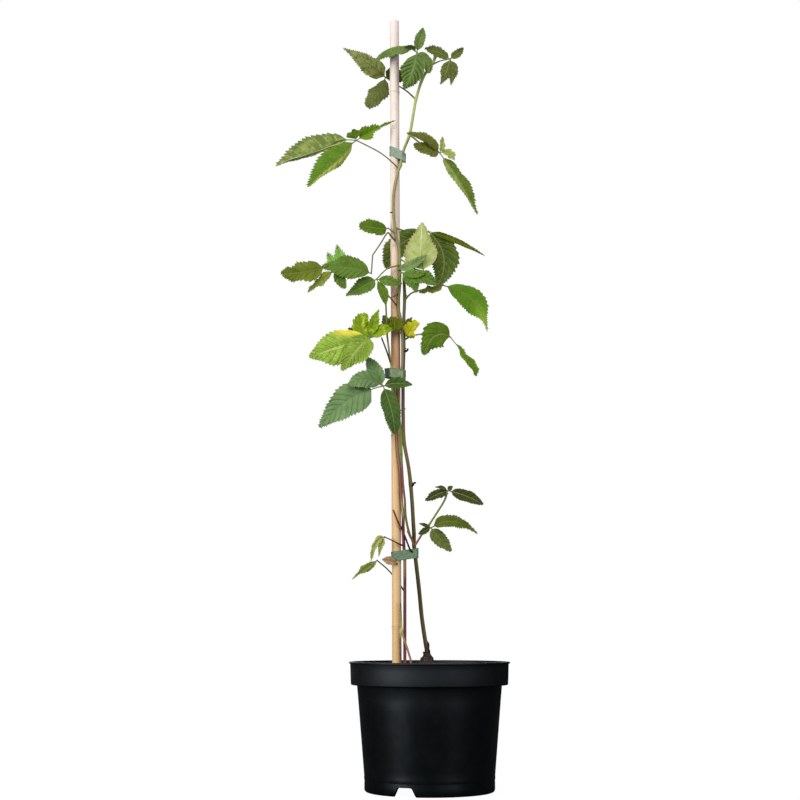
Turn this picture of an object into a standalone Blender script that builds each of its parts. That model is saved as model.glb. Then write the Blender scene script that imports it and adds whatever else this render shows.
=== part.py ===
"""A bramble bush in a 3 litre nursery pot, tied to a bamboo cane.

The pot's foot stands on z = 0 with its centre at the origin, and the view from the front looks along +Y.
Lengths are in millimetres here and are scaled by MM when a mesh or a curve is made.
"""

import math

import bmesh
import bpy
from mathutils import Vector

MM = 0.001
GAP = 0.3  # clearance between a piece and the neighbour that it is cut by

# Pot: a round 3 litre nursery pot, 190 mm across the rim and 150 mm tall.
POT_HEIGHT = 150.0
POT_RIM_RADIUS = 95.0
POT_LIP_HEIGHT = 2.2
POT_BAND_RADIUS = 93.5
POT_BAND_HEIGHT = 27.0
POT_BAND_DRAFT = 0.8
POT_BODY_TOP_RADIUS = 85.3
POT_BODY_BOTTOM_RADIUS = 76.3
POT_CORNER_RADIUS = 3.0
POT_STEP_HEIGHT = 15.0
POT_STEP_DEPTH = 0.5
POT_WALL = 1.6
POT_FLOOR_RECESS = 11.5
POT_FOOT_WIDTH = 3.0
POT_CENTRE_FOOT_RADIUS = 14.0
POT_SEGMENTS = 48

# Drainage notches through the foot of the wall.
NOTCH_COUNT = 3
NOTCH_FIRST_ANGLE = math.radians(-113.5)
NOTCH_HEIGHT = 10.4
NOTCH_BOTTOM_WIDTH = 28.0
NOTCH_TOP_WIDTH = 18.0
NOTCH_DEPTH = 16.0

# Compost, with its top 18 mm under the rim.
COMPOST_TOP = 132.0
COMPOST_CROWN = 1.5

# Bamboo cane: 900 mm long, pushed into the compost.
STAKE_LENGTH = 900.0
STAKE_TOP = 941.0
STAKE_BOTTOM_RADIUS = 5.5
STAKE_TOP_RADIUS = 5.8
STAKE_FOOT = Vector((-39.2, 0.0, STAKE_TOP - STAKE_LENGTH))
STAKE_HEAD = Vector((-41.8, 0.0, STAKE_TOP))
STAKE_NODES = (150.0, 377.0, 610.0, 806.0)  # heights of the rings above the cane's foot
STAKE_NODE_SWELL = 0.45
STAKE_SEGMENTS = 20

# Root crown, the woody mound that the right-hand cane grows from.
CROWN_PLACE = Vector((-2.6, 0.0, 0.0))
CROWN_PROFILE = ((118, 5.0), (126, 9.0), (140, 10.0), (150, 8.8), (155, 6.8), (160, 4.6))
CROWN_SEGMENTS = 16

# Tapes round the cane and the stems.
TAPE_HEIGHT = 11.5
TAPE_THICKNESS = 0.8
TAPE_GAP = 0.4
TAPE_STEPS = 48

# Routes of the stems, from the compost up: points, then radius at the bottom and at the top.
STEMS = {
    "cane_tall": ([
        (-29, -6, 112), (-29, -6, 140), (-29, -6, 175), (-29, -5, 222), (-29, -4, 267), (-30, -4, 284),
        (-31, -4, 305), (-31, -5, 321), (-33, -6, 340), (-34, -7, 358), (-36, -8, 376), (-38, -8.5, 394),
        (-39, -9, 418), (-38, -9, 448), (-38, -9, 473), (-36, -9, 495), (-34, -8.5, 522), (-33, -8.5, 540),
        (-34, -8.5, 560), (-37, -8.5, 576), (-35, -8.5, 602), (-35, -8.5, 633), (-36, -9, 649),
        (-40, -9, 664), (-43, -9, 695), (-42, -9, 719), (-37, -8.5, 744), (-34, -8, 752), (-30, -6, 772),
        (-24, -4, 791), (-20, -3, 815), (-16, -2, 838), (-8, -2, 862), (-1, -2, 874), (6, -2, 884),
        (9, -2, 892)], 2.0, 1.3),
    "cane_right": ([
        (-2.6, 0, 161), (-5, 0, 175), (-9, -1, 203), (-12, -2, 234), (-16, -3, 269), (-18, -3, 287),
        (-18, -3, 299), (-19, -3, 317), (-20, -3, 335), (-22, -3, 360), (-24, -3, 377), (-26, -3, 389),
        (-30, -3, 413), (-31, -3, 449), (-31, -3, 467), (-31, -3, 492), (-30, -2, 523), (-30, -2, 535),
        (-30, -2, 561), (-29, -2, 588), (-30, -2, 612)], 2.6, 2.0),
    "cane_thin": ([
        (-18, -3, 283), (-20, -6, 292), (-24, -8, 301), (-28, -9, 321), (-29, -10, 340), (-31, -11, 358),
        (-32, -12, 376), (-33, -13, 394), (-33, -13, 418), (-36, -13.5, 442), (-39, -14, 460),
        (-43, -13.5, 478), (-45, -12.5, 499), (-50, -11, 537), (-51, -10, 558), (-52, -9, 580)], 1.3, 0.9),
    "side_shoot": ([
        (-18, -3, 285), (-14, -5, 291), (-9, -6, 299), (-2, -7, 308), (6, -9, 320), (18, -12, 339),
        (21, -13, 349)], 1.4, 1.1),
    "base_shoot": ([(-34, -13, 112), (-34, -12, 140), (-34, -11, 183), (-33, -10.5, 190), (-34, -10, 218)],
                   1.4, 0.9),
}
# Twigs and forks that are one piece with a stem: points, radius at the start and at the end.
TWIGS = {
    "cane_tall": [
        ([(-37, -8.5, 574), (-42, -11, 580), (-50, -12, 589)], 1.0, 0.5),
        ([(-35, -8.5, 592), (-40, -11, 588), (-46, -12, 585)], 0.9, 0.5),
        ([(-31, -4, 304), (-36, -9, 309), (-43, -11, 328)], 1.0, 0.5),
        ([(-30, -4, 298), (-27, -8, 293), (-23, -10, 287)], 1.0, 0.6),
        ([(-43, -9, 692), (-47, -11, 691)], 1.2, 0.6),
    ],
    "cane_right": [
        ([(-22, -3, 360), (-18, -6, 358), (-14, -7, 360)], 1.2, 0.6),
        ([(-30, -2, 522), (-26, -5, 524)], 1.4, 0.8),
    ],
    "cane_thin": [([(-46, -12.5, 505), (-51, -13.5, 520), (-57, -12, 536)], 0.9, 0.6)],
    "base_shoot": [([(-21, -14, 112), (-22, -14, 150), (-28, -12.5, 174), (-34, -11, 187)], 1.3, 1.1)],
}

# Which way the upper side of a leaflet faces.
FRONT = (0, -1, 0.15)
FRONT_UP = (0, -0.7, 0.7)
FRONT_DOWN = (0, -0.8, -0.6)
UP = (0, -0.25, 1)
BACK = (0, 1, 0.1)
BACK_UP = (0, 0.6, 0.8)
LEFT_FRONT = (-0.7, -0.7, 0.1)
RIGHT_FRONT = (0.7, -0.7, 0.1)

# Compound leaves. The stalk starts inside its stem, and each leaflet's midrib runs from the stalk's end, or
# from its own start, through a middle point to its tip: (middle, tip, width, facing, fold, stalk share, start).
LEAVES = {
    "leaf_crown_left": ("cane_tall", [(-16, -2, 838), (-26, 5, 850), (-40, 10, 861), (-53, 10, 870)], [
        ((-81, 4, 890), (-106, 4, 906), 16, BACK, 0.2, 0.08),
        ((-61, 4, 849), (-77, 4, 831), 23, FRONT, -0.15, 0.06),
        ((-41, 13, 882), (-26, 13, 893), 17, FRONT_UP, 0.2, 0.08),
    ]),
    "leaf_crown_front": ("cane_tall", [(-8, -2, 862), (-10, -9, 873), (-14, -13, 894)], [
        ((-42, -16, 893), (-76, -14, 870), 14, FRONT_UP, -0.2, 0.1),
        ((-10, -13, 910), (-6, -12, 926), 13.5, FRONT, 0.25, 0.08),
        ((-21, -16, 899), (-29, -18, 900), 7, UP, 0.3, 0.1),
        ((-19, -18, 868), (-31, -16, 842), 28, FRONT, -0.12, 0.05),
        ((-3, -14, 884), (1, -14, 867), 14, FRONT, -0.2, 0.06),
    ]),
    "leaf_crown_right": ("cane_tall", [(5, -2, 882), (15, -4, 886), (27, -6, 888)], [
        ((13, -7, 896), (-4, -6, 902), 13, FRONT, 0.15, 0.08),
        ((37, -7, 896), (44, -8, 902), 8, FRONT_UP, 0.2, 0.1),
        ((23, -12, 870), (15, -12, 853), 16, FRONT, -0.15, 0.06),
        ((30, -10, 871), (28, -12, 852), 14, FRONT, -0.15, 0.06, (29, -6, 886)),
    ]),
    "leaf_upper_left": ("cane_tall", [
        (-37, -8, 747), (-42, -12, 753), (-51, -14, 761), (-64, -15, 767), (-88, -18, 780)], [
        ((-139, -28, 775), (-186, -36, 742), 23, BACK_UP, 0.2, 0.2),
        ((-121, -32, 751), (-146, -40, 715), 24, FRONT, -0.15, 0.06),
        ((-90, -20, 787), (-90, -21, 793), 8, FRONT, 0.2, 0.1),
        ((-65, -16, 795), (-40, -13, 807), 10, UP, 0.3, 0.08),
    ]),
    "leaf_upper_right": ("cane_tall", [(-22, -4, 791), (-10, -7, 780), (2, -10, 772), (14, -12, 766)], [
        ((-3, -17, 782), (-26, -20, 788), 13, FRONT_UP, 0.15, 0.06),
        ((0, -19, 768), (-18, -22, 774), 12, FRONT, 0.15, 0.06),
        ((17, -14, 775), (17, -14, 786), 8, FRONT, 0.2, 0.1),
        ((22, -14, 770), (30, -15, 774), 7, FRONT, 0.2, 0.1),
        ((37, -20, 730), (59, -26, 685), 18, RIGHT_FRONT, 0.2, 0.1),
    ]),
    "leaf_node_left": ("cane_tall", [(-40, -9, 665), (-45, -12, 668), (-49, -13, 671)], [
        ((-66, -16, 671), (-84, -15, 676), 15, FRONT, 0.15, 0.05),
    ]),
    "leaf_mid_left": ("cane_tall", [
        (-35, -8, 627), (-40, -13, 624), (-49, -15, 621), (-56, -16, 615), (-63, -17, 607)], [
        ((-80, -20, 597), (-100, -20, 586), 18.5, FRONT, 0.15, 0.06),
        ((-47, -19, 604), (-32, -18, 601), 11, FRONT, 0.15, 0.06),
        ((-55, -20, 590), (-52, -20, 575), 10, FRONT, 0.15, 0.06),
    ]),
    "leaf_far_left": ("cane_tall", [
        (-40, -9, 656), (-46, -15, 661), (-50, -18, 664), (-61, -20, 647), (-69, -22, 634), (-70, -26, 613)], [
        ((-97, -31, 618), (-128, -33, 619), 24, FRONT, 0.1, 0.04),
        ((-106, -31, 630), (-111, -31, 647), 12, FRONT, 0.15, 0.05, (-101, -30, 619)),
        ((-118, -32, 628), (-123, -32, 637), 8, FRONT, 0.15, 0.05, (-112, -32, 619)),
        ((-106, -31, 603), (-100, -30, 593), 11, FRONT, 0.1, 0.05, (-109, -32, 617)),
        ((-153, -40, 610), (-177, -44, 609), 22, FRONT, 0.1, 0.06, (-122, -33, 619)),
        ((-130, -36, 601), (-145, -39, 586), 10, FRONT, 0.1, 0.08, (-113, -32, 615)),
    ]),
    "leaf_back": ("cane_tall", [
        (-40, -9, 673), (-35, -8, 671), (-29, 2, 672), (-14, 10, 674), (0, 14, 674)], [
        ((-36, 17, 656), (-50, 17, 627), 27, FRONT, 0.1, 0.06),
        ((19, 17, 643), (12, 19, 606), 36, FRONT, 0.1, 0.04),
        ((36, 13, 661), (70, 11, 642), 9, FRONT, 0.1, 0.06),
    ]),
    "leaf_pale_up": ("cane_tall", [(-35, -8, 634), (-29, -10, 630), (-18, -9, 622), (-6, -8, 619)], [
        ((-9, -6, 648), (-7, -3, 681), 36, BACK, 0.08, 0.03),
    ]),
    "leaf_front_small": ("cane_tall", [(-35, -8, 620), (-37, -12, 619), (-37, -13, 620)], [
        ((-20, -13, 626), (-2, -12, 638), 9, FRONT, 0.15, 0.04),
    ]),
    "leaf_mid_front": ("cane_tall", [(-35, -8, 611), (-34, -12, 614), (-33, -14, 616)], [
        ((-19, -19, 612), (-4, -20, 613), 9, FRONT, 0.15, 0.05),
        ((-21, -18, 606), (-15, -18, 590), 15, FRONT, 0.15, 0.05),
        ((-8, -18, 609), (11, -17, 600), 16, FRONT, 0.15, 0.05),
    ]),
    "leaf_mid_right": ("cane_right", [
        (-29, -2, 584), (-21, -5, 592), (-8, -7, 596), (11, -8, 600), (21, -9, 600)], [
        ((50, -18, 583), (69, -22, 541), 27, FRONT, -0.15, 0.04),
        ((3, -12, 595), (-12, -13, 592), 7, FRONT, 0.15, 0.05),
    ]),
    "leaf_variegated": ("cane_tall", [
        (-33, -8, 542), (-39, -14, 544), (-46, -16, 544), (-55, -18, 539), (-70, -19, 535)], [
        ((-111, -30, 520), (-143, -34, 509), 38, FRONT, 0.08, 0.03),
        ((-88, -25, 516), (-105, -27, 493), 25, FRONT, 0.08, 0.03),
        ((-81, -19, 550), (-74, -19, 563), 17, FRONT, 0.15, 0.05),
        ((-66, -21, 553), (-60, -21, 569), 10, FRONT, 0.2, 0.05),
        ((-58, -21, 543), (-44, -22, 544), 11, FRONT, 0.15, 0.05),
        ((-41, -16, 551), (-46, -16, 561), 13, FRONT, 0.15, 0.05, (-43, -16, 544)),
    ]),
    "leaf_yellow": ("cane_right", [(-31, -2, 541), (-28, -6, 543)], [
        ((-23, -9, 548), (-17, -10, 559), 15, FRONT, 0.2, 0.05),
        ((-24, -8, 539), (-18, -9, 537), 6, FRONT, 0.2, 0.05),
        ((-25, -7, 554), (-20, -7, 562), 6, FRONT, 0.2, 0.05),
    ]),
    "leaf_heart_right": ("cane_right", [
        (-31, -2, 534), (-21, -6, 539), (-7, -9, 541), (10, -12, 540), (26, -15, 536)], [
        ((9, -20, 531), (-8, -21, 515), 29, FRONT, 0.08, 0.02),
        ((15, -12, 550), (2, -10, 554), 8, FRONT_UP, 0.15, 0.05),
        ((45, -18, 511), (57, -19, 488), 11, RIGHT_FRONT, 0.2, 0.14),
    ]),
    "leaf_blue": ("cane_thin", [(-43, -13, 478), (-48, -18, 477), (-55, -19, 476)], [
        ((-93, -32, 458), (-130, -37, 424), 33, FRONT, 0.08, 0.18),
        ((-76, -30, 482), (-95, -35, 474), 17, FRONT, 0.1, 0.08),
        ((-65, -20, 494), (-74, -19, 511), 15, FRONT, 0.12, 0.06),
        ((-38, -22, 479), (-20, -21, 477), 14, FRONT, 0.12, 0.06),
        ((-45, -25, 447), (-41, -26, 417), 20, FRONT, 0.1, 0.05),
    ]),
    "leaf_low_left": ("cane_tall", [(-30, -4, 286), (-36, -9, 288), (-44, -12, 292), (-53, -12, 296)], [
        ((-63, -15, 289), (-69, -16, 267), 8.5, FRONT, 0.15, 0.04),
        ((-57, -14, 286), (-60, -15, 273), 7, FRONT, 0.15, 0.06),
    ]),
    "leaf_low_back": ("cane_tall", [
        (-29, -4, 231), (-32, 4, 236), (-39, 10, 246), (-49, 7, 258), (-62, 4, 269)], [
        ((-77, 0, 259), (-92, -2, 246), 9, FRONT, 0.15, 0.05),
        ((-69, 2, 262), (-74, 2, 255), 6, FRONT, 0.15, 0.05),
    ]),
    "leaf_dried": ("bamboo_stake", [(-39, -2, 264), (-41, -7, 264), (-42, -9, 265)], [
        ((-48, -10, 268), (-55, -10, 271), 8, FRONT, 0.3, 0.05),
    ]),
    "leaf_shoot_top": ("side_shoot", [(20, -12, 344), (22, -14, 351)], [
        ((9, -17, 346), (-5, -18, 339), 11.5, FRONT, 0.15, 0.05),
        ((15, -16, 354), (7, -17, 355), 6.5, FRONT_UP, 0.15, 0.05),
        ((25, -15, 354), (28, -15, 356), 5.5, FRONT, 0.15, 0.05),
        ((44, -19, 344), (64, -21, 334), 14.5, FRONT, 0.12, 0.08),
    ]),
    "leaf_shoot_low": ("side_shoot", [(-2, -7, 308), (2, -11, 307)], [
        ((29, -18, 314), (57, -21, 299), 19, FRONT_UP, 0.1, 0.06),
        ((13, -16, 293), (26, -17, 279), 17, FRONT, 0.1, 0.05),
        ((-5, -12, 310), (-12, -13, 312), 4.5, FRONT, 0.15, 0.05),
        ((-6, -14, 303), (-13, -15, 299), 7.5, FRONT, 0.15, 0.05),
    ]),
}
STALK_RADIUS = (1.2, 0.8)
STALK_STEPS = 2  # points of the smooth curve to each span of a leaf stalk
TUBE_BEVEL = 2
KNOB_RADIUS = 1.5
BLADE_THICKNESS = 0.6
BLADE_INSET = 0.7  # how far from the middle of its knob a leaflet starts, so that no two start on one edge
BLADE_BASE_WIDTH = 1.6
BLADE_STEPS = 6
BLADE_WIDEST = 0.82  # power that sets how near its base a leaflet is widest
BLADE_FULLNESS = 0.75

COLOURS = {  # base colour, roughness
    "pot": ((0.012, 0.013, 0.016), 0.5),
    "compost": ((0.035, 0.024, 0.017), 0.95),
    "bamboo": ((0.62, 0.42, 0.22), 0.5),
    "tape": ((0.21, 0.34, 0.28), 0.55),
    "bark": ((0.07, 0.045, 0.03), 0.85),
    "stem": ((0.16, 0.12, 0.06), 0.6),
    "leaf": ((0.09, 0.17, 0.04), 0.5),
    "dry": ((0.3, 0.2, 0.11), 0.8),
}


def clear_scene():
    """Remove whatever the open file holds."""
    for item in list(bpy.data.objects):
        bpy.data.objects.remove(item, do_unlink=True)


def make_collection(name):
    """A collection linked to the scene."""
    collection = bpy.data.collections.new(name)
    bpy.context.scene.collection.children.link(collection)
    return collection


def make_material(name):
    """A Principled material in the named colour."""
    colour, roughness = COLOURS[name]
    material = bpy.data.materials.new(name)
    material.use_nodes = True
    shader = material.node_tree.nodes["Principled BSDF"]
    shader.inputs["Base Color"].default_value = (*colour, 1.0)
    shader.inputs["Roughness"].default_value = roughness
    shader.inputs["Metallic"].default_value = 0.0
    material.diffuse_color = (*colour, 1.0)
    return material


def add_object(name, data, collection, material=None):
    """An object in a collection, with its material."""
    item = bpy.data.objects.new(name, data)
    collection.objects.link(item)
    if material is not None:
        data.materials.clear()
        data.materials.append(material)
    return item


def shade(item):
    """Smooth shading with sharp edges kept."""
    item.data.shade_smooth()
    item.data.set_sharp_from_angle(angle=math.radians(35))


def as_mesh(item, material):
    """The evaluated object as a plain mesh object in its place; the first object is removed."""
    bpy.context.view_layer.update()
    graph = bpy.context.evaluated_depsgraph_get()
    mesh = bpy.data.meshes.new_from_object(item.evaluated_get(graph))
    work = bmesh.new()
    work.from_mesh(mesh)
    bmesh.ops.remove_doubles(work, verts=work.verts, dist=1e-6)
    work.to_mesh(mesh)
    work.free()
    name = item.name
    place = item.matrix_world.copy()
    collection = item.users_collection[0]
    bpy.data.objects.remove(item, do_unlink=True)
    solid = add_object(name, mesh, collection, material)
    solid.matrix_world = place
    return solid


def smooth_route(points, steps):
    """Catmull-Rom points through a route, with so many steps to a span."""
    route = [Vector(p) for p in points]
    padded = [2 * route[0] - route[1], *route, 2 * route[-1] - route[-2]]
    result = []
    for before, start, end, after in zip(padded, padded[1:], padded[2:], padded[3:]):
        for step in range(steps):
            t = step / steps
            result.append(0.5 * (
                2 * start + (end - before) * t
                + (2 * before - 5 * start + 4 * end - after) * t**2
                + (3 * start - before - 3 * end + after) * t**3))
    result.append(route[-1])
    return result


def tube(name, route, start_radius, end_radius, collection, material, grow=0.0):
    """A round tube along a route, tapered from end to end, as a mesh."""
    curve = bpy.data.curves.new(name, "CURVE")
    curve.dimensions = "3D"
    curve.bevel_depth = MM
    curve.bevel_resolution = TUBE_BEVEL
    curve.render_resolution_u = 0
    curve.use_fill_caps = True
    spline = curve.splines.new("POLY")
    spline.points.add(len(route) - 1)
    for index, (point, place) in enumerate(zip(spline.points, route)):
        share = index / (len(route) - 1)
        point.co = (*(Vector(place) * MM), 1.0)
        point.radius = start_radius + (end_radius - start_radius) * share + grow
    return as_mesh(add_object(name, curve, collection), material)


def combine(item, other, operation):
    """A Boolean modifier with the exact solver."""
    modifier = item.modifiers.new(operation.title(), "BOOLEAN")
    modifier.operation = operation
    modifier.solver = "EXACT"
    modifier.object = other
    return modifier


def united(pieces, material):
    """One closed body from pieces that overlap the first."""
    first, *others = pieces
    for other in others:
        combine(first, other, "UNION")
    solid = as_mesh(first, material)
    for other in others:
        bpy.data.objects.remove(other, do_unlink=True)
    return solid


def turned(name, profile, segments, collection, material):
    """A profile of (radius, height) pairs, turned about Z. Its outer side runs from top to bottom."""
    mesh = bpy.data.meshes.new(name)
    work = bmesh.new()
    ring = [work.verts.new((radius * MM, 0.0, height * MM)) for radius, height in profile]
    for start, end in zip(ring, ring[1:]):
        work.edges.new((start, end))
    work.to_mesh(mesh)
    work.free()
    item = add_object(name, mesh, collection, material)
    screw = item.modifiers.new("Screw", "SCREW")
    screw.steps = screw.render_steps = segments
    screw.use_merge_vertices = True
    screw.merge_threshold = 1e-6
    screw.use_normal_calculate = True
    return item


def as_cutter(item):
    """Mark an object as a cutter, which isn't a part."""
    item.hide_render = True
    item.display_type = "WIRE"
    return item


def pot_outline():
    """The pot's outer side from the lip down to the edge of the foot."""
    band_bottom = POT_HEIGHT - POT_BAND_HEIGHT
    outline = [
        (POT_RIM_RADIUS - 0.6, POT_HEIGHT),
        (POT_RIM_RADIUS, POT_HEIGHT - 0.6),
        (POT_RIM_RADIUS, POT_HEIGHT - POT_LIP_HEIGHT + 0.4),
        (POT_BAND_RADIUS, POT_HEIGHT - POT_LIP_HEIGHT - 0.3),
        (POT_BAND_RADIUS - POT_BAND_DRAFT, band_bottom + 1.0),
        (POT_BAND_RADIUS - POT_BAND_DRAFT - 1.0, band_bottom),
        (POT_BODY_TOP_RADIUS, band_bottom - 1.0),
        (POT_BODY_BOTTOM_RADIUS + POT_STEP_DEPTH, POT_STEP_HEIGHT + 0.5),
        (POT_BODY_BOTTOM_RADIUS, POT_STEP_HEIGHT - 0.5),
    ]
    centre = POT_BODY_BOTTOM_RADIUS - POT_CORNER_RADIUS
    for step in range(5):
        angle = math.radians(90.0 * step / 4)
        outline.append((centre + POT_CORNER_RADIUS * math.cos(angle),
                        POT_CORNER_RADIUS - POT_CORNER_RADIUS * math.sin(angle)))
    return outline


def pot_inside():
    """The pot's inner side from the middle of its floor up to the lip."""
    floor = POT_FLOOR_RECESS + POT_WALL
    band_bottom = POT_HEIGHT - POT_BAND_HEIGHT
    return [
        (POT_BODY_BOTTOM_RADIUS - POT_WALL - 3.0, floor),
        (POT_BODY_BOTTOM_RADIUS - POT_WALL, floor + 3.0),
        (POT_BODY_TOP_RADIUS - POT_WALL, band_bottom - 1.0 + POT_WALL),
        (POT_BAND_RADIUS - POT_BAND_DRAFT - POT_WALL, band_bottom + 2.0 + POT_WALL),
        (POT_BAND_RADIUS - POT_WALL, POT_HEIGHT),
    ]


def make_pot(parts, cutters, material):
    """The pot: a turned shell with drainage notches cut through its foot."""
    floor = POT_FLOOR_RECESS + POT_WALL
    ring = POT_BODY_BOTTOM_RADIUS - POT_CORNER_RADIUS - POT_FOOT_WIDTH
    underside = [
        (ring, 0.0), (ring - 1.0, POT_FLOOR_RECESS),
        (POT_CENTRE_FOOT_RADIUS + 1.0, POT_FLOOR_RECESS), (POT_CENTRE_FOOT_RADIUS, 0.0), (0.0, 0.0)]
    profile = [(0.0, floor), *pot_inside(), *pot_outline(), *underside]
    pot = turned("pot", profile, POT_SEGMENTS, parts, material)
    for index in range(NOTCH_COUNT):
        angle = NOTCH_FIRST_ANGLE + index * math.tau / NOTCH_COUNT
        mesh = bpy.data.meshes.new(f"notch_cutter_{index + 1}")
        work = bmesh.new()
        bmesh.ops.create_cube(work, size=1.0)
        for vert in work.verts:
            width = NOTCH_TOP_WIDTH if vert.co.z > 0 else NOTCH_BOTTOM_WIDTH + 1.0
            height = NOTCH_HEIGHT if vert.co.z > 0 else -1.0
            vert.co = Vector((vert.co.x * NOTCH_DEPTH, vert.co.y * width, height)) * MM
        work.to_mesh(mesh)
        work.free()
        cutter = as_cutter(add_object(mesh.name, mesh, cutters))
        radius = POT_BODY_BOTTOM_RADIUS * MM
        cutter.location = (radius * math.cos(angle), radius * math.sin(angle), 0.0)
        cutter.rotation_euler.z = angle
        combine(pot, cutter, "DIFFERENCE")
    return pot


def make_compost(parts, material):
    """The compost, which fills the pot to below its rim with a clearance all round."""
    floor = POT_FLOOR_RECESS + POT_WALL + GAP
    inside = [(radius - GAP, height + GAP) for radius, height in pot_inside()[:-1]]
    inside[0] = (inside[0][0], floor)
    inside.append((POT_BAND_RADIUS - POT_BAND_DRAFT - POT_WALL - GAP, COMPOST_TOP - COMPOST_CROWN))
    outline = [(0.0, COMPOST_TOP), (50.0, COMPOST_TOP - 0.3), *reversed(inside), (0.0, floor)]
    return turned("compost", outline, POT_SEGMENTS, parts, material)


def stake_radius(height):
    """The cane's radius at a height above its foot, with a low swelling at each ring."""
    radius = STAKE_BOTTOM_RADIUS + (STAKE_TOP_RADIUS - STAKE_BOTTOM_RADIUS) * height / STAKE_LENGTH
    return radius + sum(STAKE_NODE_SWELL * math.exp(-((height - ring) / 3.0) ** 2) for ring in STAKE_NODES)


def make_stake(name, collection, material, grow=0.0):
    """The bamboo cane, leaning a little to the left as it rises."""
    heights = {0.6, STAKE_LENGTH - 0.6}
    for ring in STAKE_NODES:
        heights.update(ring + offset for offset in (-7.0, -3.0, 0.0, 3.0, 7.0))
    ends = 0.5
    profile = [(0.0, STAKE_LENGTH), (STAKE_TOP_RADIUS - ends + grow, STAKE_LENGTH)]
    profile += [(stake_radius(height) + grow, height) for height in sorted(heights, reverse=True)]
    profile += [(STAKE_BOTTOM_RADIUS - ends + grow, -grow), (0.0, -grow)]
    stake = turned(name, profile, STAKE_SEGMENTS, collection, material)
    stake.location = STAKE_FOOT * MM
    lean = (STAKE_HEAD - STAKE_FOOT).normalized()
    stake.rotation_euler = Vector((0.0, 0.0, 1.0)).rotation_difference(lean).to_euler()
    return stake


def make_crown(name, collection, material, grow=0.0):
    """The root crown, a turned mound with a flat top under the right-hand cane."""
    bottom, top = CROWN_PROFILE[0][0], CROWN_PROFILE[-1][0]
    sides = [(radius + grow, height) for height, radius in reversed(CROWN_PROFILE)]
    profile = [(0.0, top), *sides, (0.0, bottom - grow)]
    profile.insert(-1, (CROWN_PROFILE[0][1] + grow, bottom - grow))
    crown = turned(name, profile, CROWN_SEGMENTS, collection, material)
    crown.location = CROWN_PLACE * MM
    return crown


def stem_point(name, height):
    """A stem's centre and radius at a height."""
    if name == "bamboo_stake":
        share = (height - STAKE_FOOT.z) / (STAKE_HEAD.z - STAKE_FOOT.z)
        return STAKE_FOOT.lerp(STAKE_HEAD, share), stake_radius(height - STAKE_FOOT.z)
    points, start_radius, end_radius = STEMS[name]
    route = [Vector(point) for point in points]
    for index, (low, high) in enumerate(zip(route, route[1:])):
        if low.z <= height <= high.z:
            share = index / (len(route) - 1)
            place = low.lerp(high, (height - low.z) / (high.z - low.z))
            return place, start_radius + (end_radius - start_radius) * share
    return route[-1], end_radius


def make_tape(name, height, tilt, held, collection, material, slack=None):
    """A tape that goes once round the cane and the stems that it holds, and round a slack bight if it has one."""
    rounds = [stem_point(stem, height + side * TAPE_HEIGHT / 2) for stem in held for side in (-1, 0, 1)]
    if slack is not None:
        rounds.append((Vector(slack[:3]), slack[3]))
    middle = sum((place.x for place, radius in rounds), 0.0) / len(rounds)

    def outline(offset):
        """The outer edge of all the rounds, which turns like a stretched band."""
        edge = []
        for step in range(TAPE_STEPS):
            angle = math.tau * step / TAPE_STEPS
            way = Vector((math.cos(angle), math.sin(angle), 0.0))
            place, radius = max(rounds, key=lambda item: item[0].dot(way) + item[1])
            edge.append(Vector((place.x, place.y, 0.0)) + way * (radius + offset))
        return edge

    mesh = bpy.data.meshes.new(name)
    work = bmesh.new()
    inner, outer = outline(TAPE_GAP), outline(TAPE_GAP + TAPE_THICKNESS)
    half = TAPE_HEIGHT / 2
    loops = []
    for edge, side in ((inner, half), (outer, half), (outer, -half), (inner, -half)):
        loops.append([
            work.verts.new(Vector((p.x, p.y, height + side + tilt * (p.x - middle))) * MM) for p in edge])
    for near, far in zip(loops, [*loops[1:], loops[0]]):
        for index in range(TAPE_STEPS):
            after = (index + 1) % TAPE_STEPS
            work.faces.new((near[index], far[index], far[after], near[after]))
    work.to_mesh(mesh)
    work.free()
    return add_object(name, mesh, collection, material)


def blade_half_width(share, width, stalk_share):
    """Half the leaflet's width at a share of its length: a narrow stalk, then an egg shape with a point."""
    along = max(0.0, (share - stalk_share) / (1.0 - stalk_share))
    blade = width / 2 * max(0.0, math.sin(math.pi * along**BLADE_WIDEST)) ** BLADE_FULLNESS
    return max(BLADE_BASE_WIDTH / 2 * (1.0 - 0.6 * along), blade)


def midrib(start, middle, tip, facing, share):
    """A point on the midrib, a parabola through three points, with the directions to the side and up."""
    start, middle, tip = Vector(start), Vector(middle), Vector(tip)
    bow = 4.0 * (middle - start.lerp(tip, 0.5))
    place = start.lerp(tip, share) + bow * share * (1.0 - share)
    along = (tip - start + bow * (1.0 - 2.0 * share)).normalized()
    facing = Vector(facing)
    up = (facing - along * along.dot(facing)).normalized()
    return place, along.cross(up), up


def blade(name, start, leaflet, collection):
    """A leaflet: a grid laid along a curved midrib, folded at the midrib and given a thickness."""
    middle, tip, width, facing, fold, stalk_share = leaflet[:6]
    start = Vector(start) + (Vector(middle) - Vector(start)).normalized() * BLADE_INSET
    mesh = bpy.data.meshes.new(name)
    work = bmesh.new()
    bmesh.ops.create_grid(work, x_segments=2, y_segments=BLADE_STEPS, size=0.5)
    for vert in work.verts:
        across, share = vert.co.x * 2.0, vert.co.y + 0.5
        half = blade_half_width(share, width, stalk_share)
        place, side, up = midrib(start, middle, tip, facing, share)
        vert.co = (place + side * across * half + up * abs(across) * half * fold) * MM
    work.to_mesh(mesh)
    work.free()
    item = add_object(name, mesh, collection)
    solid = item.modifiers.new("Solidify", "SOLIDIFY")
    solid.thickness = BLADE_THICKNESS * MM
    solid.offset = 0.0
    return item


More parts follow.
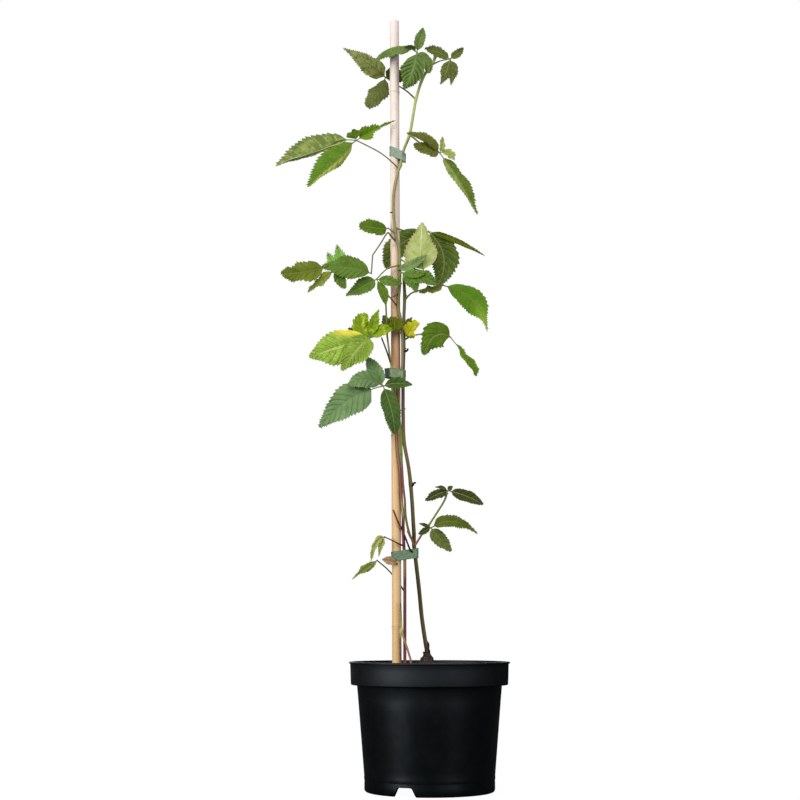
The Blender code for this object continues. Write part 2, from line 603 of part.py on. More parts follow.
def knob(name, place, collection):
    """The swelling where a stalk carries its leaflets."""
    mesh = bpy.data.meshes.new(name)
    work = bmesh.new()
    bmesh.ops.create_uvsphere(work, u_segments=8, v_segments=5, radius=KNOB_RADIUS * MM)
    work.to_mesh(mesh)
    work.free()
    item = add_object(name, mesh, collection)
    item.location = Vector(place) * MM
    return item


def make_leaf(name, stalk, leaflets, collection, material):
    """A compound leaf: stalk, swelling and leaflets in one closed body."""
    starts = [Vector(leaflet[6] if len(leaflet) > 6 else stalk[-1]) for leaflet in leaflets]
    pieces = [tube(name, smooth_route(stalk, STALK_STEPS), *STALK_RADIUS, collection, material)]
    pieces.append(knob(f"{name}_knob", stalk[-1], collection))
    for index, (start, leaflet) in enumerate(zip(starts, leaflets)):
        pieces.append(blade(f"{name}_blade_{index}", start, leaflet, collection))
        if len(leaflet) > 6:
            pieces.append(knob(f"{name}_knob_{index}", start, collection))
    return united(pieces, material)


def make_stem(name, collection, material, grow=0.0):
    """A stem with the twigs that are one piece with it."""
    points, start_radius, end_radius = STEMS[name]
    label = name if grow == 0.0 else f"{name}_cutter"
    pieces = [tube(label, points, start_radius, end_radius, collection, material, grow)]
    for index, (twig, start, end) in enumerate(TWIGS.get(name, [])):
        pieces.append(tube(f"{label}_twig_{index}", twig, start, end, collection, material, grow))
    return united(pieces, material)


def main():
    """Build every part, then cut each where its neighbour goes through."""
    clear_scene()
    parts, cutters = make_collection("potted_bramble_bush"), make_collection("cutters")
    materials = {name: make_material(name) for name in COLOURS}
    make_pot(parts, cutters, materials["pot"])
    compost = make_compost(parts, materials["compost"])
    make_stake("bamboo_stake", parts, materials["bamboo"])
    make_crown("root_crown", parts, materials["bark"])
    stems = {name: make_stem(name, parts, materials["stem"]) for name in STEMS}
    grown = {name: as_cutter(make_stem(name, cutters, None, GAP)) for name in STEMS}
    grown["bamboo_stake"] = as_cutter(make_stake("bamboo_stake_cutter", cutters, None, GAP))
    crown_cutter = as_cutter(make_crown("root_crown_cutter", cutters, None, GAP))

    for cutter in (grown["bamboo_stake"], crown_cutter, grown["cane_tall"], grown["base_shoot"]):
        combine(compost, cutter, "DIFFERENCE")
    for branch in ("cane_thin", "side_shoot"):
        combine(stems[branch], grown["cane_right"], "DIFFERENCE")

    make_tape("tie_top", 765.5, -0.55, ("bamboo_stake", "cane_tall"), parts, materials["tape"])
    make_tape("tie_middle", 492.5, -0.1, ("bamboo_stake", "cane_tall", "cane_right", "cane_thin"),
              parts, materials["tape"], slack=(-50.5, -3.0, 492.5, 1.8))
    make_tape("tie_bottom", 275.5, -0.05, ("bamboo_stake", "cane_tall", "cane_right"),
              parts, materials["tape"])
    for name, (stem, stalk, leaflets) in LEAVES.items():
        look = materials["dry" if name == "leaf_dried" else "leaf"]
        combine(make_leaf(name, stalk, leaflets, parts, look), grown[stem], "DIFFERENCE")
    for item in parts.objects:
        shade(item)


main()
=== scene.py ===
"""A bramble bush in a nursery pot, tied to a bamboo cane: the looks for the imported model.

Every length of the bush is in millimetres, as in the model's source, and is scaled by MM when a mesh is
made. The camera, the lamps and the floor are placed in metres.
"""

import math
import random
from functools import cache
from types import SimpleNamespace

import bmesh
import bpy
from mathutils import Matrix, Vector, noise


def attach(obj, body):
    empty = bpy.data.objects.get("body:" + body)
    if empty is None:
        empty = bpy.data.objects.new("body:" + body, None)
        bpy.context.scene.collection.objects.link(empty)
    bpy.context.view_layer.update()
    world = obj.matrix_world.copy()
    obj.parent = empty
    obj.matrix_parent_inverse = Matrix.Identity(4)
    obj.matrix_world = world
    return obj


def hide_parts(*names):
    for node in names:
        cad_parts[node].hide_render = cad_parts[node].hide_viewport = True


MM = 0.001

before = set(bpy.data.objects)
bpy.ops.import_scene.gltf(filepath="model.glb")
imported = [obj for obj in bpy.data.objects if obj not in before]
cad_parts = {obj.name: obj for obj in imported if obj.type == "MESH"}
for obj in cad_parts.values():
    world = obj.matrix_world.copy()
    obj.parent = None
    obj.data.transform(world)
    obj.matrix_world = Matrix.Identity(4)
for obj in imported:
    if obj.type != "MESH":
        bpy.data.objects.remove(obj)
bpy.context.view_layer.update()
scene = bpy.context.scene

# ---------------------------------------------------------------- camera, light and floor

CAMERA_PLACE = (-0.0347, -1.950, 0.1877)
CAMERA_TILT = math.radians(98.0)
CAMERA_LENS = 73.4
CAMERA_SENSOR = 36.0
SOFT_BOXES = (  # name, place, target, size, power and colour
    ("lamp_key", (-1.75, -1.35, 0.72), (-0.02, 0.0, 0.4), (1.1, 1.24), 38.0, (1.0, 0.985, 0.96)),
    ("lamp_fill", (1.5, -1.75, 0.7), (0.0, 0.0, 0.35), (1.0, 1.2), 9.0, (1.0, 1.0, 1.0)),
)
# Each sun's name, place and power.
SUNS = (("lamp_sky", (0.1, -2.4, 2.4), 1.8), ("lamp_back", (-0.5, 2.4, 1.5), 1.1))
SUN_TARGET = (0.0, 0.0, 0.3)
SUN_ANGLE = math.radians(50.0)  # broad, so that shadows have soft edges
SURROUND_LIGHT = 0.72  # how strongly the white surround lights the bush
SURROUND_SHEEN = 0.004  # how strongly it shows in glossy surfaces
FLOOR_REACH = 60.0
FLOOR_BOUNCE = "#696969"  # what the floor throws back on matt surfaces
FLOOR_GLOW = 0.975  # the floor is a pale light table, so that shadows on it stay soft


def make_camera():
    """The camera stands low in front of the pot and looks up a little."""
    data = bpy.data.cameras.new("camera")
    data.lens = CAMERA_LENS
    data.sensor_width = CAMERA_SENSOR
    data.clip_start = 0.05
    data.clip_end = 60.0
    camera = bpy.data.objects.new("camera", data)
    camera.location = CAMERA_PLACE
    camera.rotation_euler = (CAMERA_TILT, 0.0, 0.0)
    scene.collection.objects.link(camera)
    scene.camera = camera


def make_lamp(name, kind, place, target, power):
    """A lamp aimed at a target; gives its settings."""
    data = bpy.data.lights.new(name, kind)
    data.energy = power
    lamp = bpy.data.objects.new(name, data)
    lamp.location = place
    lamp.rotation_euler = (Vector(target) - lamp.location).to_track_quat("-Z", "Y").to_euler()
    scene.collection.objects.link(lamp)
    return data


def make_lamps():
    """Two soft boxes in front and two broad suns, one of them behind."""
    for name, place, target, size, power, colour in SOFT_BOXES:
        data = make_lamp(name, "AREA", place, target, power)
        data.shape = "RECTANGLE"
        data.size, data.size_y = size
        data.color = colour
    for name, place, power in SUNS:
        make_lamp(name, "SUN", place, SUN_TARGET, power).angle = SUN_ANGLE


def make_surround():
    """An even surround, white to the camera and nearly dark in glossy surfaces."""
    world = bpy.data.worlds.new("studio")
    world.use_nodes = True
    tree = world.node_tree
    light_path = tree.nodes.new("ShaderNodeLightPath")
    surround = tree.nodes["Background"]
    surround.inputs["Color"].default_value = (1.0, 1.0, 1.0, 1.0)
    before = None
    for rays, strength in (("Is Glossy Ray", SURROUND_SHEEN), ("Is Camera Ray", 1.0)):
        choice = tree.nodes.new("ShaderNodeMix")
        choice.inputs["A"].default_value = SURROUND_LIGHT
        choice.inputs["B"].default_value = strength
        if before is not None:
            tree.links.new(before.outputs["Result"], choice.inputs["A"])
        tree.links.new(light_path.outputs[rays], choice.inputs["Factor"])
        before = choice
    tree.links.new(before.outputs["Result"], surround.inputs["Strength"])
    scene.world = world
    scene.view_settings.view_transform = "Standard"
    scene.view_settings.look = "None"


def make_floor():
    """A pale floor that glows evenly and gives matt surfaces less light than it shows."""
    work = bmesh.new()
    bmesh.ops.create_grid(work, x_segments=1, y_segments=1, size=FLOOR_REACH)
    floor = bpy.data.objects.new("floor", meshed(work, "floor"))
    scene.collection.objects.link(floor)
    look = Look("floor_paper", 0.0)
    look.surface("Roughness", 0.9)
    look.surface("Base Color", (0.02, 0.02, 0.02, 1.0))
    seen = look.node("ShaderNodeLightPath")
    bounced = look.node("ShaderNodeLightPath", output=2)
    look.surface("Emission Color", look.mix(seen, look.mix(bounced, "#000000", FLOOR_BOUNCE), "#ffffff"))
    look.surface("Emission Strength", FLOOR_GLOW)
    floor.data.materials.append(look.material)


# ---------------------------------------------------------------- shader tools


class Value:
    """A socket in a material; arithmetic on it adds Math nodes."""

    def __init__(self, look, socket):
        self.look = look
        self.socket = socket

    def maths(self, operation, *values):
        """A Math node on values, in the order in which they are given."""
        return self.look.node("ShaderNodeMath", {"operation": operation}, dict(enumerate(values)))

    def __add__(self, other):
        return self.maths("ADD", self, other)

    __radd__ = __add__

    def __sub__(self, other):
        return self.maths("SUBTRACT", self, other)

    def __rsub__(self, other):
        return self.maths("SUBTRACT", other, self)

    def __mul__(self, other):
        return self.maths("MULTIPLY", self, other)

    __rmul__ = __mul__

    def __truediv__(self, other):
        return self.maths("DIVIDE", self, other)

    def __abs__(self):
        return self.maths("ABSOLUTE", self)

    def fraction(self):
        """The part after the decimal point."""
        return self.maths("FRACT", self)

    def most(self, other):
        """The larger of two values."""
        return self.maths("MAXIMUM", self, other)

    def step(self, low, high):
        """A soft step from 0 below low to 1 above high; it falls where low is above high."""
        return self.look.node("ShaderNodeMapRange", {"interpolation_type": "SMOOTHSTEP"},
                              {"Value": self, "From Min": low, "From Max": high})


class Look:
    """A Principled material, with so much sheen, and the nodes that feed it."""

    def __init__(self, name, sheen):
        self.material = bpy.data.materials.new(name)
        self.material.use_nodes = True
        self.tree = self.material.node_tree
        self.shader = self.tree.nodes["Principled BSDF"]
        self.surface("Specular IOR Level", sheen)

    def put(self, target, label, value):
        """Set or link a socket of a node."""
        if isinstance(value, Value):
            self.tree.links.new(value.socket, target.inputs[label])
        else:
            target.inputs[label].default_value = value

    def surface(self, label, value):
        """Set or link a socket of the shader."""
        self.put(self.shader, label, value)

    def finish(self, colour, roughness, relief):
        """Set the surface's colour, roughness and relief, and give the material."""
        self.surface("Base Color", colour)
        self.surface("Roughness", roughness)
        self.surface("Normal", relief)
        return self.material

    def node(self, kind, settings=None, inputs=None, output=0):
        """A node of a kind: its settings, then what its sockets take, and the chosen output."""
        made = self.tree.nodes.new(kind)
        for label, setting in (settings or {}).items():
            if label == "stops":
                elements = made.color_ramp.elements
                while len(elements) < len(setting):
                    elements.new(0.5)
                for element, (position, colour) in zip(elements, setting):
                    element.position = position
                    element.color = rgba(colour)
            else:
                setattr(made, label, setting)
        for label, value in (inputs or {}).items():
            self.put(made, label, value)
        return Value(self, made.outputs[output])

    def ramp(self, share, stops):
        """A colour for each share, through stops of a share and a colour."""
        return self.node("ShaderNodeValToRGB", {"stops": stops}, {"Fac": share})

    def place(self, stretch=(1.0, 1.0, 1.0)):
        """The point in the object's own frame, stretched along its axes."""
        point = self.node("ShaderNodeTexCoord", output="Object")
        return self.node("ShaderNodeMapping", inputs={"Vector": point, "Scale": stretch})

    def parts(self, vector):
        """The three numbers of a vector."""
        first = self.node("ShaderNodeSeparateXYZ", inputs={"Vector": vector})
        return [Value(self, socket) for socket in first.socket.node.outputs]

    def stored(self, name):
        """The three numbers of a vector stored on the mesh."""
        return self.parts(self.node("ShaderNodeAttribute", {"attribute_name": name}, output=1))

    def cloud(self, size, detail=3.0, stretch=(1.0, 1.0, 1.0), rough=0.55):
        """Soft noise whose patches are about so many millimetres across."""
        return self.node("ShaderNodeTexNoise", inputs={
            "Vector": self.place(stretch), "Scale": 1.0 / (size * MM), "Detail": detail, "Roughness": rough})

    def cells(self, size, feature="F1"):
        """Distance to the nearest cell's middle or edge, for cells of so many millimetres."""
        return self.node("ShaderNodeTexVoronoi", {"feature": feature},
                         {"Vector": self.place(), "Scale": 1.0 / (size * MM)})

    def mix(self, mask, first, second):
        """One colour turning into another."""
        return self.node("ShaderNodeMix", {"data_type": "RGBA"},
                         {0: mask, 6: rgba(first), 7: rgba(second)}, output=2)

    def relief(self, height, distance, strength=1.0, under=None):
        """Relief on the surface, of so many millimetres."""
        inputs = {"Height": height, "Distance": distance * MM, "Strength": strength}
        if under is not None:
            inputs["Normal"] = under
        return self.node("ShaderNodeBump", inputs=inputs)


def rgba(colour):
    """A colour given as #rrggbb, in linear light; a Value stays as it is."""
    if isinstance(colour, Value):
        return colour
    channels = [int(colour[place:place + 2], 16) / 255.0 for place in (1, 3, 5)]
    linear = [c / 12.92 if c <= 0.04045 else ((c + 0.055) / 1.055) ** 2.4 for c in channels]
    return (*linear, 1.0)


# ---------------------------------------------------------------- finishes


def pot_finish():
    """Black moulded plastic with a soft satin sheen, fine grain and faint upright rubbing; dusty patches on
    the upper part double as a painted highlight.
    """
    look = Look("pot_plastic", 0.46)
    look.surface("Specular Tint", (0.8, 0.9, 1.0, 1.0))
    wear = look.cloud(14.0, 4.0)
    streak = look.cloud(3.0, 3.0, (1.0, 1.0, 0.06))
    grain = look.cloud(0.7, 2.0)
    # Dusty patches; the colour below keeps them to the upper pot, where they are partly a painted highlight.
    dust_and_top_highlight = look.cloud(5.0, 5.0).step(0.58, 0.78) * 0.1
    height = look.parts(look.place())[2]
    black = look.mix(wear.step(0.35, 0.7), "#030506", "#06080a")
    # Pale dusty patches only above 0.1 m: partly real dustiness and partly a painted highlight that makes
    # the top of the pot paler.
    colour = look.mix(dust_and_top_highlight * height.step(0.1, 0.15), black, "#131517")
    rubbed_band = height.step(0.1215, 0.1235) * 0.14 - height.step(0.112, 0.085) * 0.1
    rubbed = look.relief(streak, 0.05, 0.5)
    return look.finish(colour, 0.34 + 0.06 * wear + 0.05 * streak + rubbed_band,
                       look.relief(grain, 0.03, 0.6, rubbed))


def compost_finish():
    """Damp brown compost with paler fibres."""
    look = Look("compost_earth", 0.2)
    patches = look.cloud(9.0, 4.0)
    crumbs = look.cells(2.2)
    fine = look.cloud(0.9, 5.0, rough=0.7)
    earth = look.mix(patches.step(0.3, 0.7), "#1b130d", "#3a2a1d")
    earth = look.mix(fine.step(0.45, 0.7), earth, "#4a3727")
    earth = look.mix(crumbs.step(0.5, 0.1) * 0.5, earth, "#120c08")
    return look.finish(earth, 0.8 + 0.15 * fine, look.relief(fine + crumbs, 0.9, 0.8))


def wood_bit_finish(name, dark, pale):
    """Bits of bark and straw in the compost."""
    look = Look(name, 0.2)
    grain = look.cloud(1.2, 4.0)
    colour = look.mix(grain.step(0.35, 0.65), dark, pale)
    return look.finish(colour, 0.75 + 0.2 * grain, look.relief(grain, 0.3, 0.7))


# Colours up the cane from its foot; the pale pinkish top is partly painted light, paler than the bamboo
# itself where light falls strongest.
BAMBOO_TONES = (
    (0.0, "#ae8652"), (0.12, "#c29f6b"), (0.26, "#c5a57a"), (0.40, "#c6a276"), (0.53, "#b98e68"),
    (0.60, "#c09a78"), (0.68, "#d9c3b2"), (0.80, "#dccdc3"), (1.0, "#dacdc7"))


def bamboo_finish():
    """Dry bamboo: pale and pinkish above, partly as painted light, browner in the middle and golden below.
    """
    look = Look("bamboo_dry", 0.35)
    x, y, z = look.parts(look.place())
    tone = look.ramp((z - 0.041) / 0.9, BAMBOO_TONES)
    fibre = look.cloud(0.5, 4.0, (1.0, 1.0, 0.012), 0.6)
    band = look.cloud(2.6, 3.0, (1.0, 1.0, 0.05))
    blot = look.cloud(7.0, 5.0, (1.0, 1.0, 0.3))
    colour = look.mix(fibre.step(0.62, 0.3) * 0.22, tone, "#8a6238")
    colour = look.mix(band.step(0.55, 0.75) * 0.25, colour, "#f0dcc8")
    colour = look.mix(blot.step(0.6, 0.78) * 0.35, colour, "#8d6644")
    scar = 0.0
    for ring in STAKE_NODES:
        gap = abs(z - (STAKE_FOOT.z + ring) * MM)
        scar = gap.step(1.5 * MM, 0.3 * MM) + scar
    colour = look.mix(scar * 0.3, colour, "#6b4a2c")
    nick = abs(z - 418.5 * MM).step(1.0 * MM, 0.4 * MM) * x.step(-0.0435, -0.0445)
    colour = look.mix(nick * y.step(0.0, -0.002), colour, "#34120a")
    return look.finish(colour, 0.45 + 0.18 * band, look.relief(fibre, 0.12, 0.5))


def cut_finish():
    """The sawn end of the bamboo."""
    look = Look("bamboo_cut", 0.2)
    dots = look.cells(0.9)
    colour = look.mix(dots.step(0.1, 0.35), "#7d5c3b", "#d8bf9c")
    return look.finish(colour, 0.75 + 0.1 * dots, look.relief(dots, 0.15, 0.5))


def tape_finish(name, dark, pale):
    """Grey-green stretch tape, a little crinkled and nearly matt, with painted shade on the part left of the
    cane.
    """
    look = Look(name, 0.2)
    crease = look.cloud(3.5, 3.0, (1.0, 1.0, 2.5))
    fine = look.cloud(0.8, 3.0, (0.35, 0.35, 2.0))
    colour = look.mix(crease.step(0.35, 0.68), dark, pale)
    # The tape left of the cane, where the middle tie's slack bight hangs, is painted darker: painted shade.
    slack = look.parts(look.place())[0].step(-0.047, -0.0485)
    colour = look.mix(slack * 0.5, colour, "#26332a")
    colour = look.mix(fine.step(0.5, 0.75) * 0.12, colour, "#9bb5a6")
    return look.finish(colour, 0.42 + 0.2 * crease, look.relief(crease + 0.4 * fine, 0.25, 0.6))


def bark_finish():
    """Dark rough bark of the root crown."""
    look = Look("crown_bark", 0.2)
    flakes = look.cells(3.0)
    fine = look.cloud(1.2, 5.0, rough=0.7)
    colour = look.mix(fine.step(0.4, 0.72), "#1a110d", "#55443a")
    colour = look.mix(flakes.step(0.5, 0.15) * 0.5, colour, "#0e0907")
    return look.finish(colour, 0.75 + 0.2 * fine, look.relief(fine + flakes, 0.8, 0.9))


def stem_finish(name, low, high, stops, streak="#5b4a2c", sides=None):
    """A streaked stem whose colour changes from height low to height high, with painted shade and light on
    its left and right sides low down.
    """
    look = Look(name, 0.18)
    height = (look.parts(look.place())[2] - low * MM) / ((high - low) * MM)
    tone = look.ramp(height, stops)
    lines = look.cloud(0.9, 3.0, (1.0, 1.0, 0.08))
    blot = look.cloud(5.0, 4.0, (1.0, 1.0, 0.4))
    # Low down on the stem, surface facing left is painted towards the first side colour and surface facing
    # right towards the second: painted shade and painted light, by which way the surface faces.
    if sides is not None:
        way = look.stored("way")[0]
        fade = height.step(0.5, 0.36)
        tone = look.mix(way.step(0.1, -0.75) * 0.8 * fade, tone, sides[0])
        tone = look.mix(way.step(0.1, 0.8) * 0.6 * fade, tone, sides[1])
    colour = look.mix(lines.step(0.5, 0.75) * 0.3, tone, streak)
    colour = look.mix(blot.step(0.6, 0.8) * 0.3, colour, "#3a2a1a")
    return look.finish(colour, 0.45 + 0.15 * blot, look.relief(lines, 0.12, 0.5))


def leaf_finish(name, deep, fresh, vein, gloss, patch=None, where=""):
    """The upper side of a leaflet: darker along the sunk veins, a painted shade in the pleat hollows, with a
    net of finer veins and painted sheen patches between them.
    """
    look = Look(name, gloss)
    across, along, rib = look.stored("blade")
    side = abs((rib + 0.5).fraction() - 0.5)
    side_vein = side.step(0.06, 0.015)
    main_vein = abs(across).step(0.07, 0.02)
    mottle = look.cloud(13.0, 3.0)
    net = look.cells(1.4, "DISTANCE_TO_EDGE").step(0.1, 0.0)
    fresh_share_with_vein_shade = mottle.step(0.35, 0.65) * 0.38 + abs(across).step(0.1, 0.9) * 0.2
    # Near each side vein, down in the pleat hollows, the colour stays deep: painted shade.
    fresh_share_with_vein_shade = fresh_share_with_vein_shade + side.step(0.04, 0.3) * 0.32
    tone = look.mix(fresh_share_with_vein_shade + 0.12, deep, fresh)
    if patch is not None:
        cloud = look.cloud(11.0, 3.0)
        places = {
            "blotch": lambda: cloud.step(0.52, 0.66),
            "left": lambda: across.step(0.03, -0.18) * cloud.step(0.2, 0.5),
            "right": lambda: across.step(-0.03, 0.18) * cloud.step(0.2, 0.5),
            "base": lambda: across.step(0.35, 0.85) * along.step(0.3, 0.14),
            "tip": lambda: along.step(0.35, 0.9)}
        tone = look.mix(places[where](), tone, patch)
    # The fine vein net, and small pale patches in the vein colour that are a painted sheen, standing in for
    # glints on the rippled blade.
    tone = look.mix((net * 0.08).most(look.cloud(3.2, 4.0).step(0.52, 0.72) * 0.34), tone, vein)
    tone = look.mix((side_vein * 0.45).most(main_vein * 0.7), tone, vein)
    quilt = look.relief(1.0 - net, 0.08, 0.4)
    return look.finish(tone, 0.44 + 0.2 * mottle, look.relief(side.step(0.0, 0.25), 0.4, 0.6, quilt))


def underside_finish(name, deep, pale, vein, edge=None):
    """The underside of a leaflet: paler and matt, with raised veins."""
    look = Look(name, 0.05)
    across, _, rib = look.stored("blade")
    side = abs((rib + 0.5).fraction() - 0.5)
    side_vein = side.step(0.06, 0.02)
    main_vein = abs(across).step(0.06, 0.03)
    mottle = look.cloud(7.0, 4.0)
    net = look.cells(1.2, "DISTANCE_TO_EDGE").step(0.16, 0.0)
    tone = look.mix(mottle.step(0.35, 0.7), deep, pale)
    if edge is not None:
        tone = look.mix(abs(across).step(0.75, 1.0) * 0.7, tone, edge)
    tone = look.mix(net * 0.08, tone, vein)
    tone = look.mix((side_vein * 0.3).most(main_vein * 0.85), tone, vein)
    return look.finish(tone, 0.62 + 0.15 * mottle,
                       look.relief(side_vein.most(main_vein) + 0.3 * net, 0.15, 0.4))


# ---------------------------------------------------------------- mesh tools


def meshed(work, name):
    """Turn a bmesh into a mesh."""
    mesh = bpy.data.meshes.new(name)
    work.to_mesh(mesh)
    work.free()
    return mesh


def finish_piece(work, name, node, finishes, smooth_angle=40.0):
    """Turn a bmesh into a piece that rides on the root body and stands for a CAD node."""
    mesh = meshed(work, name)
    for finish in finishes:
        mesh.materials.append(finish)
    mesh.shade_smooth()
    mesh.set_sharp_from_angle(angle=math.radians(smooth_angle))
    piece = bpy.data.objects.new(name, mesh)
    scene.collection.objects.link(piece)
    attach(piece, "root")
    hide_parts(node)


def evaluated(item):
    """The mesh that an object's modifiers or bevel give; the object goes."""
    scene.collection.objects.link(item)
    bpy.context.view_layer.update()
    graph = bpy.context.evaluated_depsgraph_get()
    mesh = bpy.data.meshes.new_from_object(item.evaluated_get(graph))
    bpy.data.objects.remove(item, do_unlink=True)
    return mesh


def set_down(work, verts, place, turn):
    """Turn some verts of a bmesh about the origin and then move them to a place."""
    bmesh.ops.rotate(work, cent=(0, 0, 0), matrix=turn, verts=verts)
    bmesh.ops.translate(work, vec=Vector(place) * MM, verts=verts)


def add_tubes(work, routes, index=0, sides=2):
    """Add round tubes to a bmesh: each route is a list of points and a list of radii."""
    curve = bpy.data.curves.new("tubes", "CURVE")
    curve.dimensions = "3D"
    curve.bevel_depth = MM
    curve.bevel_resolution = sides
    curve.use_fill_caps = True
    for points, radii in routes:
        spline = curve.splines.new("POLY")
        spline.points.add(len(points) - 1)
        for point, place, radius in zip(spline.points, points, radii):
            point.co = (*(Vector(place) * MM), 1.0)
            point.radius = radius
    mesh = evaluated(bpy.data.objects.new("tubes", curve))
    for face in mesh.polygons:
        face.material_index = index
    work.from_mesh(mesh)
    bmesh.ops.remove_doubles(work, verts=work.verts, dist=1e-6)


def add_ball(work, place, size, turn=Matrix.Identity(3), rings=6):
    """Add a ball, stretched to a size along its own axes, to a bmesh."""
    made = bmesh.ops.create_uvsphere(work, u_segments=rings + 4, v_segments=rings, radius=MM)
    bmesh.ops.scale(work, vec=Vector(size), verts=made["verts"])
    set_down(work, made["verts"], place, turn)


def smooth_route(points, steps):
    """Points of a smooth curve through a route, with so many steps to a span."""
    route = [Vector(point) for point in points]
    padded = [2 * route[0] - route[1], *route, 2 * route[-1] - route[-2]]
    result = []
    for before, start, end, after in zip(padded, padded[1:], padded[2:], padded[3:]):
        for step in range(steps):
            t = step / steps
            result.append(0.5 * (
                2 * start + (end - before) * t
                + (2 * before - 5 * start + 4 * end - after) * t**2
                + (3 * start - before - 3 * end + after) * t**3))
    result.append(route[-1])
    return result


def spun(profile, segments):
    """A bmesh made by turning a profile of (radius, height) pairs about the Z axis."""
    work = bmesh.new()
    ring = [work.verts.new((radius * MM, 0.0, height * MM)) for radius, height in profile]
    edges = [work.edges.new(pair) for pair in zip(ring, ring[1:])]
    bmesh.ops.spin(work, geom=ring + edges, cent=(0, 0, 0), axis=(0, 0, 1), angle=math.tau,
                   steps=segments, use_merge=True)
    bmesh.ops.remove_doubles(work, verts=work.verts, dist=1e-6)
    bmesh.ops.recalc_face_normals(work, faces=work.faces)
    return work


def soft_step(value, low, high):
    """A smooth step from 0 at low to 1 at high."""
    share = min(1.0, max(0.0, (value - low) / (high - low)))
    return share * share * (3.0 - 2.0 * share)


# ---------------------------------------------------------------- pot

POT_HEIGHT = 150.0
POT_RIM_RADIUS = 95.0
POT_BAND_RADIUS = 93.5
POT_BAND_BOTTOM = 123.0
POT_BODY_TOP_RADIUS = 85.3
POT_BODY_BOTTOM_RADIUS = 76.3
POT_STEP_HEIGHT = 15.0
POT_WALL = 1.6
POT_FLOOR_RECESS = 11.5
POT_SEGMENTS = 144
POT_RIB = 0.12
NOTCH_FIRST_ANGLE = math.radians(-113.5)
NOTCH_COUNT = 3
NOTCH_DEPTH = 16.0
NOTCH_TOP_WIDTH = 18.0
NOTCH_FOOT_WIDTH = 29.0
NOTCH_HEIGHT = 10.4
NOTCH_ROUNDING = 1.6


def body_radius(height):
    """The outer radius of the tapered body."""
    share = (height - POT_STEP_HEIGHT) / (POT_BAND_BOTTOM - POT_STEP_HEIGHT)
    return POT_BODY_BOTTOM_RADIUS + (POT_BODY_TOP_RADIUS - POT_BODY_BOTTOM_RADIUS) * share


def pot_profile():
    """The pot's section: up inside from the floor's middle, over the lip, and down the outside."""
    floor = POT_FLOOR_RECESS + POT_WALL
    bore = POT_BODY_BOTTOM_RADIUS - POT_WALL
    mouth = POT_BAND_RADIUS - POT_WALL
    inside = [
        (0.0, floor), (14.0, floor), (40.0, floor), (bore - 3.0, floor), (bore - 0.9, floor + 0.9),
        (bore, floor + 3.0)]
    inside += [(body_radius(height) - POT_WALL, height) for height in (20.0, 40.0, 70.0, 100.0, 121.0)]
    inside += [
        (POT_BODY_TOP_RADIUS - POT_WALL + 0.3, 123.4), (88.6, 125.9), (mouth - 0.8, 126.9),
        (mouth - 0.6, 132.0), (mouth, 146.0), (mouth, POT_HEIGHT - 0.8), (mouth + 0.5, POT_HEIGHT - 0.2)]
    lip = [
        (POT_RIM_RADIUS - 1.2, POT_HEIGHT), (POT_RIM_RADIUS - 0.4, POT_HEIGHT - 0.2),
        (POT_RIM_RADIUS, POT_HEIGHT - 0.8), (POT_RIM_RADIUS, POT_HEIGHT - 1.8),
        (POT_RIM_RADIUS - 0.3, POT_HEIGHT - 2.2), (POT_BAND_RADIUS + 0.2, POT_HEIGHT - 2.4),
        (POT_BAND_RADIUS, POT_HEIGHT - 2.8)]
    band = [
        (POT_BAND_RADIUS - 0.25, 140.0), (POT_BAND_RADIUS - 0.5, 132.0), (POT_BAND_RADIUS - 0.8, 124.6),
        (POT_BAND_RADIUS - 1.0, 123.6), (POT_BAND_RADIUS - 1.6, 123.1),
        (POT_BAND_RADIUS - 2.4, POT_BAND_BOTTOM), (87.0, 122.8), (POT_BODY_TOP_RADIUS + 0.5, 122.4),
        (POT_BODY_TOP_RADIUS, 121.4)]
    body = [(body_radius(height), height) for height in (105.0, 85.0, 65.0, 45.0, 28.0, 19.0)]
    foot = [
        (POT_BODY_BOTTOM_RADIUS + 0.55, 15.6), (POT_BODY_BOTTOM_RADIUS + 0.4, 15.1),
        (POT_BODY_BOTTOM_RADIUS, 14.6), (POT_BODY_BOTTOM_RADIUS, 9.0), (POT_BODY_BOTTOM_RADIUS, 3.0),
        (75.6, 1.2), (74.4, 0.3), (73.3, 0.0), (70.8, 0.0), (70.3, 0.5), (69.4, POT_FLOOR_RECESS - 0.8),
        (68.6, POT_FLOOR_RECESS), (40.0, POT_FLOOR_RECESS), (15.0, POT_FLOOR_RECESS), (14.0, 0.3),
        (13.5, 0.0), (0.0, 0.0)]
    return [*inside, *lip, *band, *body, *foot]


def notch_cutter(angle):
    """A wedge-sided block with a rounded top that cuts a drainage notch through the foot of the wall."""
    work = bmesh.new()
    made = bmesh.ops.create_cube(work, size=1.0)
    for vert in made["verts"]:
        width, height = (NOTCH_TOP_WIDTH, NOTCH_HEIGHT) if vert.co.z > 0.0 else (NOTCH_FOOT_WIDTH, -1.0)
        vert.co = Vector((vert.co.x * NOTCH_DEPTH, vert.co.y * width, height)) * MM
    long_top = [edge for edge in work.edges if all(vert.co.z > 0.0 for vert in edge.verts)
                and edge.verts[0].co.y == edge.verts[1].co.y]
    bmesh.ops.bevel(work, geom=long_top, offset=NOTCH_ROUNDING * MM, segments=3, profile=0.5,
                    affect="EDGES", material=-1)
    bmesh.ops.translate(work, vec=(POT_BODY_BOTTOM_RADIUS * MM, 0.0, 0.0), verts=work.verts)
    bmesh.ops.rotate(work, cent=(0, 0, 0), matrix=Matrix.Rotation(angle, 3, "Z"), verts=work.verts)
    return bpy.data.objects.new("notch", meshed(work, "notch"))


